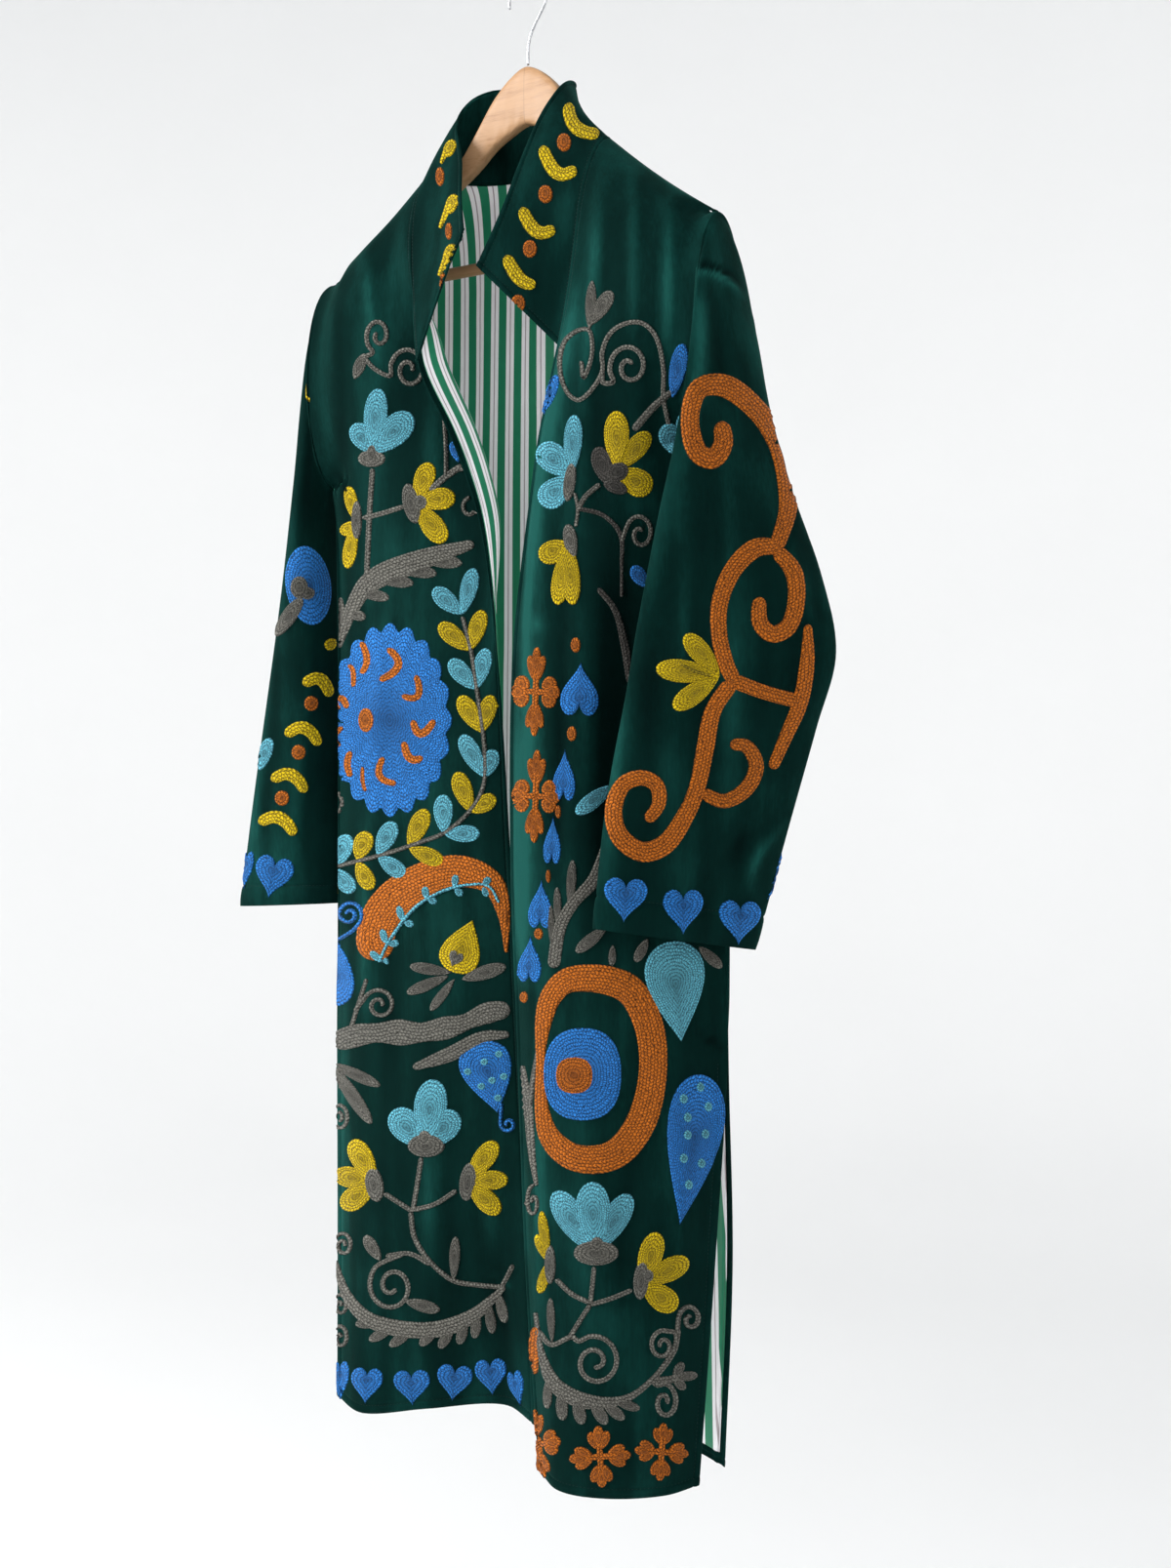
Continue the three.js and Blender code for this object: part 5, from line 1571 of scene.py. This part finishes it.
def back_needlework(n):
    """The hidden back repeats the fronts' kinds of motif, in flat millimetres."""
    for x, sign in ((-96, 1), (96, -1)):
        n.spiral(x, 330, 26, 40 * sign, -1.5 * sign, 5.5)
        n.petal(x, 304, x + 3 * sign, 268, 13, "grey", 0.5)
        n.bloom(x - 20 * sign, 470, ((-30, -34, 28), (30, -34, 28), (0, -50, 28)), "aqua")
        n.disc(x - 20 * sign, 472, 17, 11, "grey", lift=0.4)
        n.stem((x - 20 * sign, 480), (x - 24 * sign, 540), (x - 10 * sign, 600))
        n.bloom(x + 18 * sign, 560, ((34 * sign, -22, 22), (40 * sign, 12, 22),
                                     (18 * sign, 42, 22)), "yellow")
        n.disc(x + 16 * sign, 562, 10, 18, "grey", lift=0.4)
        n.stem((x - 20 * sign, 580), (x, 572), (x + 10 * sign, 566))
        n.line([(x - 60 * sign, 1010), (x - 30 * sign, 960), (x + 20 * sign, 945),
                (x + 62 * sign, 990), (x + 66 * sign, 1060)], [36, 38, 36, 22, 4], "orange")
        n.drop(x + 6 * sign, 1035, 48, 66, "yellow", turn=190)
        n.heart(x + 6 * sign, 1044, 17, 18, "grey", lift=0.7)
        n.bloom(x, 1245, ((-36, -40, 30), (36, -40, 30), (0, -62, 34)), "aqua")
        n.disc(x, 1246, 22, 13, "grey", lift=0.4)
        n.stem((x, 1256), (x - 4, 1290), (x + 10 * sign, 1330))
        n.spiral(x + 34 * sign, 1318, 22, -60 * sign, 1.5 * sign, 5, lead=[(x + 4 * sign, 1318)])
        n.petal(x - 2, 1300, x - 34 * sign, 1282, 13, "grey", 0.4)
    n.disc(0, 740, 92, 92, "blue", scallops=24, depth=0.08)
    n.layer = 0.7
    n.disc(0, 740, 14, 14, "orange", lift=0.1)
    for k in range(12):
        a = math.radians(30 * k)
        c, s = math.cos(a), math.sin(a)
        n.layer = 0.75
        n.bow(56 * c - 12 * s, 740 + 56 * s + 12 * c, 66 * c, 740 + 66 * s,
              56 * c + 12 * s, 740 + 56 * s - 12 * c, 9, "orange")
    n.layer = 0
    n.line([(-176, 640), (-168, 760), (-140, 860), (-80, 905), (0, 918), (80, 905), (140, 860),
            (168, 760), (176, 640)], [4.6], "grey", lift=0.4)
    garland = ((-176, 655, -90), (-173, 710, -84), (-164, 770, -70), (-150, 828, -50),
               (-118, 876, -30), (-72, 904, -12), (-24, 915, -4))
    for k, (x, y, lean) in enumerate(garland):
        for sign in (1, -1):
            a = math.radians(lean)
            for spread in (-0.6, 0.6):
                way = a + spread
                n.petal(sign * x, y, sign * (x + 34 * math.cos(way)), y + 34 * math.sin(way), 17,
                        ("aqua", "yellow")[k % 2], 0.55)
    n.line([(-190, 1130), (-120, 1118), (-60, 1126), (0, 1116), (60, 1126), (120, 1118),
            (190, 1130)], [14, 20, 15, 21, 15, 20, 14], "grey")
    for k in range(9):
        n.heart(-184 + 46 * k, 1404 + 3 * (k % 2), 36, 38, "blue", (-4, 3)[k % 2])


def side_flowers(n, x, sign):
    """A column of flowers and dots for a sleeve's hidden side, in flat millimetres."""
    for y, colour in ((620, "yellow"), (730, "aqua")):
        n.bloom(x, y, ((-11 * sign, -34, 13), (0, -46, 13), (11 * sign, -34, 13)), colour)
        n.disc(x, y, 6, 5, "grey", lift=0.4)
        n.stem((x, y + 4), (x + sign * 3, y + 22), (x, y + 44), width=4.5)
    n.disc(x, 800, 7, 7, "orange")
    for dx, y in ((-22, 892), (16, 890)):
        n.heart(x + sign * dx, y, 32, 40, "blue")


def hidden_front_flowers(n):
    """The left front's flowers go on under the sleeve."""
    for x, y, colour in ((705, 470, "aqua"), (720, 640, "yellow"), (700, 820, "aqua")):
        n.bloom(x, y, ((-26, -34, 26), (26, -34, 26), (0, -50, 26)), colour)
        n.disc(x, y + 2, 15, 9, "grey", lift=0.4)
        n.stem((x, y + 10), (x - 4, y + 50), (x + 6, y + 100))
    n.disc(690, 730, 30, 48, "blue", scallops=14, depth=0.1)
    n.disc(690, 730, 7, 11, "orange", lift=0.7)


# ---------- one piece of needlework and topstitching for each panel ----------
def stitched(name, *parts):
    piece = embroider(name, list(parts))
    piece.data.materials.append(material("wool"))
    return piece


def drawn(cloth, view, *drawings, keep=None):
    """What some drawings give on a cloth piece, seen in a view."""
    work = Needlework()
    for drawing in drawings:
        drawing(work)
    return work.sewn(cloth, view, keep)


def column_run(cloth, column, below=1e9):
    rows = np.flatnonzero(cloth.points[:, column, 2] < below)
    return cloth.points[rows, column], cloth.normals[rows, column]


def row_run(cloth, row):
    points, normals = cloth.points[row], cloth.normals[row]
    if cloth.wrap:
        return np.vstack([points, points[:1]]), np.vstack([normals, normals[:1]])
    return points, normals


def seamed(name, *runs):
    piece = topstitch(name, runs, settings().jacket_stitching.stitch_length)
    piece.data.materials.append(material("sewing"))
    return piece


def dress(name, parts, runs, depth=VELVET):
    """One cut: its velvet with the needlework and topstitching that lie on it."""
    velvet = velvet_piece(name, depth)
    flowers = stitched(name + "_embroidery", *parts)
    seams = seamed(name + "_topstitch", *runs)


def make_panel(name, view, drawings, runs, lined, stripes):
    cloth = weave_cloths()[name]
    dress(name, [drawn(cloth, view, *drawings)], runs(cloth))
    lining = "lining_" + name
    lining_piece(lining, cloth, *lined, stripes)


def front_runs(cloth):
    return column_run(cloth, -8), row_run(cloth, -8), column_run(cloth, 8, SLIT_TOP_Z)


def back_runs(cloth):
    return (row_run(cloth, -8), column_run(cloth, 8, SLIT_TOP_Z),
            column_run(cloth, -9, SLIT_TOP_Z))


class JACKET_OT_left_front(bpy.types.Operator):
    """Make the wearer's left front: velvet, embroidery, stitching and striped lining"""
    bl_idname = "jacket.left_front"
    bl_label = "Left Front"

    def execute(self, context):
        make_panel("front_left", CAMERA, (
            front_left_flowers, front_left_border, front_left_medallion, front_left_hem,
            hidden_front_flowers), front_runs, (9, 253), "across")
        return {"FINISHED"}


class JACKET_OT_right_front(bpy.types.Operator):
    """Make the wearer's right front, whose upper edge is turned out"""
    bl_idname = "jacket.right_front"
    bl_label = "Right Front"

    def execute(self, context):
        make_panel("front_right", CAMERA, (
            front_right_flowers, front_right_garland, front_right_roundel, front_right_paisley,
            front_right_hem), front_runs, (9, 253), "across")
        return {"FINISHED"}


class JACKET_OT_back(bpy.types.Operator):
    """Make the back with its side slits and striped lining"""
    bl_idname = "jacket.back"
    bl_label = "Back"

    def execute(self, context):
        make_panel("back", BEHIND, (back_needlework,), back_runs, (6.5, 459.5), "straight")
        return {"FINISHED"}


class JACKET_OT_sleeves(bpy.types.Operator):
    """Make both sleeves with their scrolls and cuffs"""
    bl_idname = "jacket.sleeves"
    bl_label = "Sleeves"

    def execute(self, context):
        left, right = weave_cloths()["sleeve_left"], weave_cloths()["sleeve_right"]
        turn = np.broadcast_to(left.across[None, :], left.nap.shape)
        below = np.broadcast_to(left.down[:, None] > SLEEVE_HEAD_PLAIN, left.nap.shape)
        behind = (turn > 15) & (turn < 165) & below
        dress("sleeve_left", [
            drawn(left, CAMERA, sleeve_left_scroll, keep=below),
            drawn(left, BEHIND, lambda n: side_flowers(n, -256, 1), keep=behind)],
            [row_run(left, -10)])
        dress("sleeve_right", [
            drawn(right, CAMERA, sleeve_right_front, keep=below),
            drawn(right, BEHIND, lambda n: side_flowers(n, 292, -1), keep=below)],
            [row_run(right, -10)])
        return {"FINISHED"}


class JACKET_OT_collar(bpy.types.Operator):
    """Make the wide collar with its pointed ends"""
    bl_idname = "jacket.collar"
    bl_label = "Collar"

    def execute(self, context):
        cloth = weave_cloths()["collar"]
        share = np.broadcast_to(cloth.across[None, :] / COLLAR_LENGTH, cloth.nap.shape)
        dress("collar", [
            drawn(cloth, CAMERA, collar_left_leaf, keep=share > 0.5),
            drawn(cloth, CAMERA, collar_right_leaf, keep=share < 0.5)],
            [row_run(cloth, -6), row_run(cloth, 2), column_run(cloth, 5), column_run(cloth, -6)],
            COLLAR_WALL)
        return {"FINISHED"}


def cad_copy(node, name, levels):
    """A smooth copy of a CAD node that stands for it."""
    source = frame["nodes"][node]
    piece = source.copy()
    piece.data = source.data.copy()
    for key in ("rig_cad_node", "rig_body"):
        if key in piece:
            del piece[key]
    piece.name = name
    piece.data.name = name
    piece.parent = None
    bpy.context.scene.collection.objects.link(piece)
    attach(piece, "root")
    bpy.ops.object.select_all(action="DESELECT")
    piece.select_set(True)
    bpy.context.view_layer.objects.active = piece
    bpy.ops.object.mode_set(mode="EDIT")
    bpy.ops.mesh.select_all(action="SELECT")
    bpy.ops.mesh.remove_doubles(threshold=0.00002)
    bpy.ops.object.mode_set(mode="OBJECT")
    if levels:
        smoother = piece.modifiers.new("Smooth", "SUBSURF")
        smoother.levels = smoother.render_levels = levels
    bpy.ops.object.shade_smooth()
    return piece


class JACKET_OT_hanger(bpy.types.Operator):
    """Make the beech hanger, its bar and its wire hook"""
    bl_idname = "jacket.hanger"
    bl_label = "Hanger"

    def execute(self, context):
        for node, name, finish, slot, levels in (
                ("hanger_body", "hanger_wood", "beech", "beech", 2),
                ("hanger_bar", "hanger_round_bar", "beech", "beech", 0),
                ("hook", "hanger_hook", "steel", "steel", 1)):
            piece = cad_copy(node, name, levels)
            piece.data.materials.clear()
            finished(piece, material(finish), slot, node)
        return {"FINISHED"}


# The bowl's distance from the middle and height above the floor, from its middle to its rim.
BOWL_PROFILE = [(0.0, 0.0), (2.2, 0.0), (3.0, 0.05), (3.6, 0.25), (4.05, 0.7), (4.3, 1.4),
                (4.4, 2.4), (4.42, 4.6)]
BOWL_RINGS = 36
BOWL_SIDES = 72
WINDOW_PLACE = (-2.3, -2.5, 0.9)
FILL_PLACE = (2.9, -1.6, 0.2)
FILL_SHARE = 0.16
LIT_PLACE = (0, 0, -0.8)
SKY_COLOUR = (0.93, 0.96, 1.0, 1)
SENSOR = 36.0


def pale_bowl(floor):
    at = np.linspace(0, len(BOWL_PROFILE) - 1, BOWL_RINGS)
    reach, rise = (through(range(len(BOWL_PROFILE)), side, at) for side in zip(*BOWL_PROFILE))
    turns = np.linspace(0, 2 * np.pi, BOWL_SIDES, endpoint=False)
    points = [(0, 0, floor)]
    for r, h in zip(reach[1:], rise[1:]):
        points += [(r * math.cos(a), r * math.sin(a), floor + h) for a in turns]
    faces = [(0, 1 + k, 1 + (k + 1) % BOWL_SIDES) for k in range(BOWL_SIDES)]
    for ring in range(BOWL_RINGS - 2):
        for k in range(BOWL_SIDES):
            a = 1 + ring * BOWL_SIDES + k
            b = 1 + ring * BOWL_SIDES + (k + 1) % BOWL_SIDES
            faces.append((a, a + BOWL_SIDES, b + BOWL_SIDES, b))
    mesh = bpy.data.meshes.new("pale_bowl")
    mesh.from_pydata(points, [], faces)
    mesh.polygons.foreach_set("use_smooth", [True] * len(mesh.polygons))
    return bpy.data.objects.new("pale_bowl", mesh)


def area_lamp(name, place, size, power):
    bpy.ops.object.light_add(type="AREA", location=place)
    lamp = bpy.context.object
    lamp.name = name
    lamp.data.shape = "DISK"
    lamp.data.size = size
    lamp.data.energy = power
    lamp.rotation_mode = "QUATERNION"
    lamp.rotation_quaternion = (Vector(LIT_PLACE) - Vector(place)).to_track_quat("-Z", "Y")
    lamp.visible_camera = False
    return lamp


class JACKET_OT_stage(bpy.types.Operator):
    """Make the pale bowl of floor and wall, the lamps and the camera"""
    bl_idname = "jacket.stage"
    bl_label = "Stage"

    def execute(self, context):
        scene = context.scene
        chosen = scene.jacket_stage
        bowl = pale_bowl(chosen.floor)
        scene.collection.objects.link(bowl)
        bowl.data.materials.append(material("wall"))
        key = area_lamp("window_light", WINDOW_PLACE, 1.7, chosen.lamp)
        fill = area_lamp("fill_light", FILL_PLACE, 2.2, chosen.lamp * FILL_SHARE)
        world = scene.world or bpy.data.worlds.new("room")
        scene.world = world
        world.use_nodes = True
        sky = world.node_tree.nodes["Background"]
        sky.inputs["Color"].default_value = SKY_COLOUR
        sky.inputs["Strength"].default_value = chosen.sky
        bpy.ops.object.camera_add(location=tuple(EYE * MM),
                                  rotation=(math.pi / 2, 0, CAMERA_TURN))
        camera = bpy.context.object
        camera.name = "camera"
        camera.data.sensor_fit = "AUTO"
        camera.data.sensor_width = SENSOR
        camera.data.lens = SENSOR * FOCAL / PICTURE[1]
        camera.data.shift_y = (HORIZON - PICTURE[1] / 2) / PICTURE[1]
        camera.data.clip_start, camera.data.clip_end = 0.05, 50
        camera.data.dof.use_dof = False
        scene.camera = camera
        scene.view_settings.view_transform = "Standard"
        return {"FINISHED"}


class JACKET_PT_panel(bpy.types.Panel):
    """The jacket's settings and the steps that make it"""
    bl_idname = "JACKET_PT_panel"
    bl_label = "Velvet Jacket"
    bl_space_type = "VIEW_3D"
    bl_region_type = "UI"
    bl_category = "Jacket"

    def draw(self, context):
        layout = self.layout
        scene = context.scene
        for group in GROUPS:
            box = layout.box()
            for name in GROUPS[group].__annotations__:
                box.prop(getattr(scene, group), name)
        for step in STEPS:
            layout.operator(step.bl_idname)


GROUPS = {"jacket_cloth": JacketCloth, "jacket_stitching": JacketStitching,
          "jacket_hanger": JacketHanger, "jacket_stage": JacketStage}
STEPS = [JACKET_OT_back, JACKET_OT_left_front, JACKET_OT_right_front, JACKET_OT_sleeves,
         JACKET_OT_collar, JACKET_OT_hanger, JACKET_OT_stage]


def register():
    for group in [*GROUPS.values(), *STEPS, JACKET_PT_panel]:
        bpy.utils.register_class(group)
    for name, group in GROUPS.items():
        setattr(bpy.types.Scene, name, PointerProperty(type=group))


def unregister():
    for name in GROUPS:
        delattr(bpy.types.Scene, name)
    for group in reversed([*GROUPS.values(), *STEPS, JACKET_PT_panel]):
        bpy.utils.unregister_class(group)


def main():
    register()
    bpy.ops.jacket.back()
    bpy.ops.jacket.left_front()
    bpy.ops.jacket.right_front()
    bpy.ops.jacket.sleeves()
    bpy.ops.jacket.collar()
    bpy.ops.jacket.hanger()
    bpy.ops.jacket.stage()


if __name__ == "__main__":
    main()
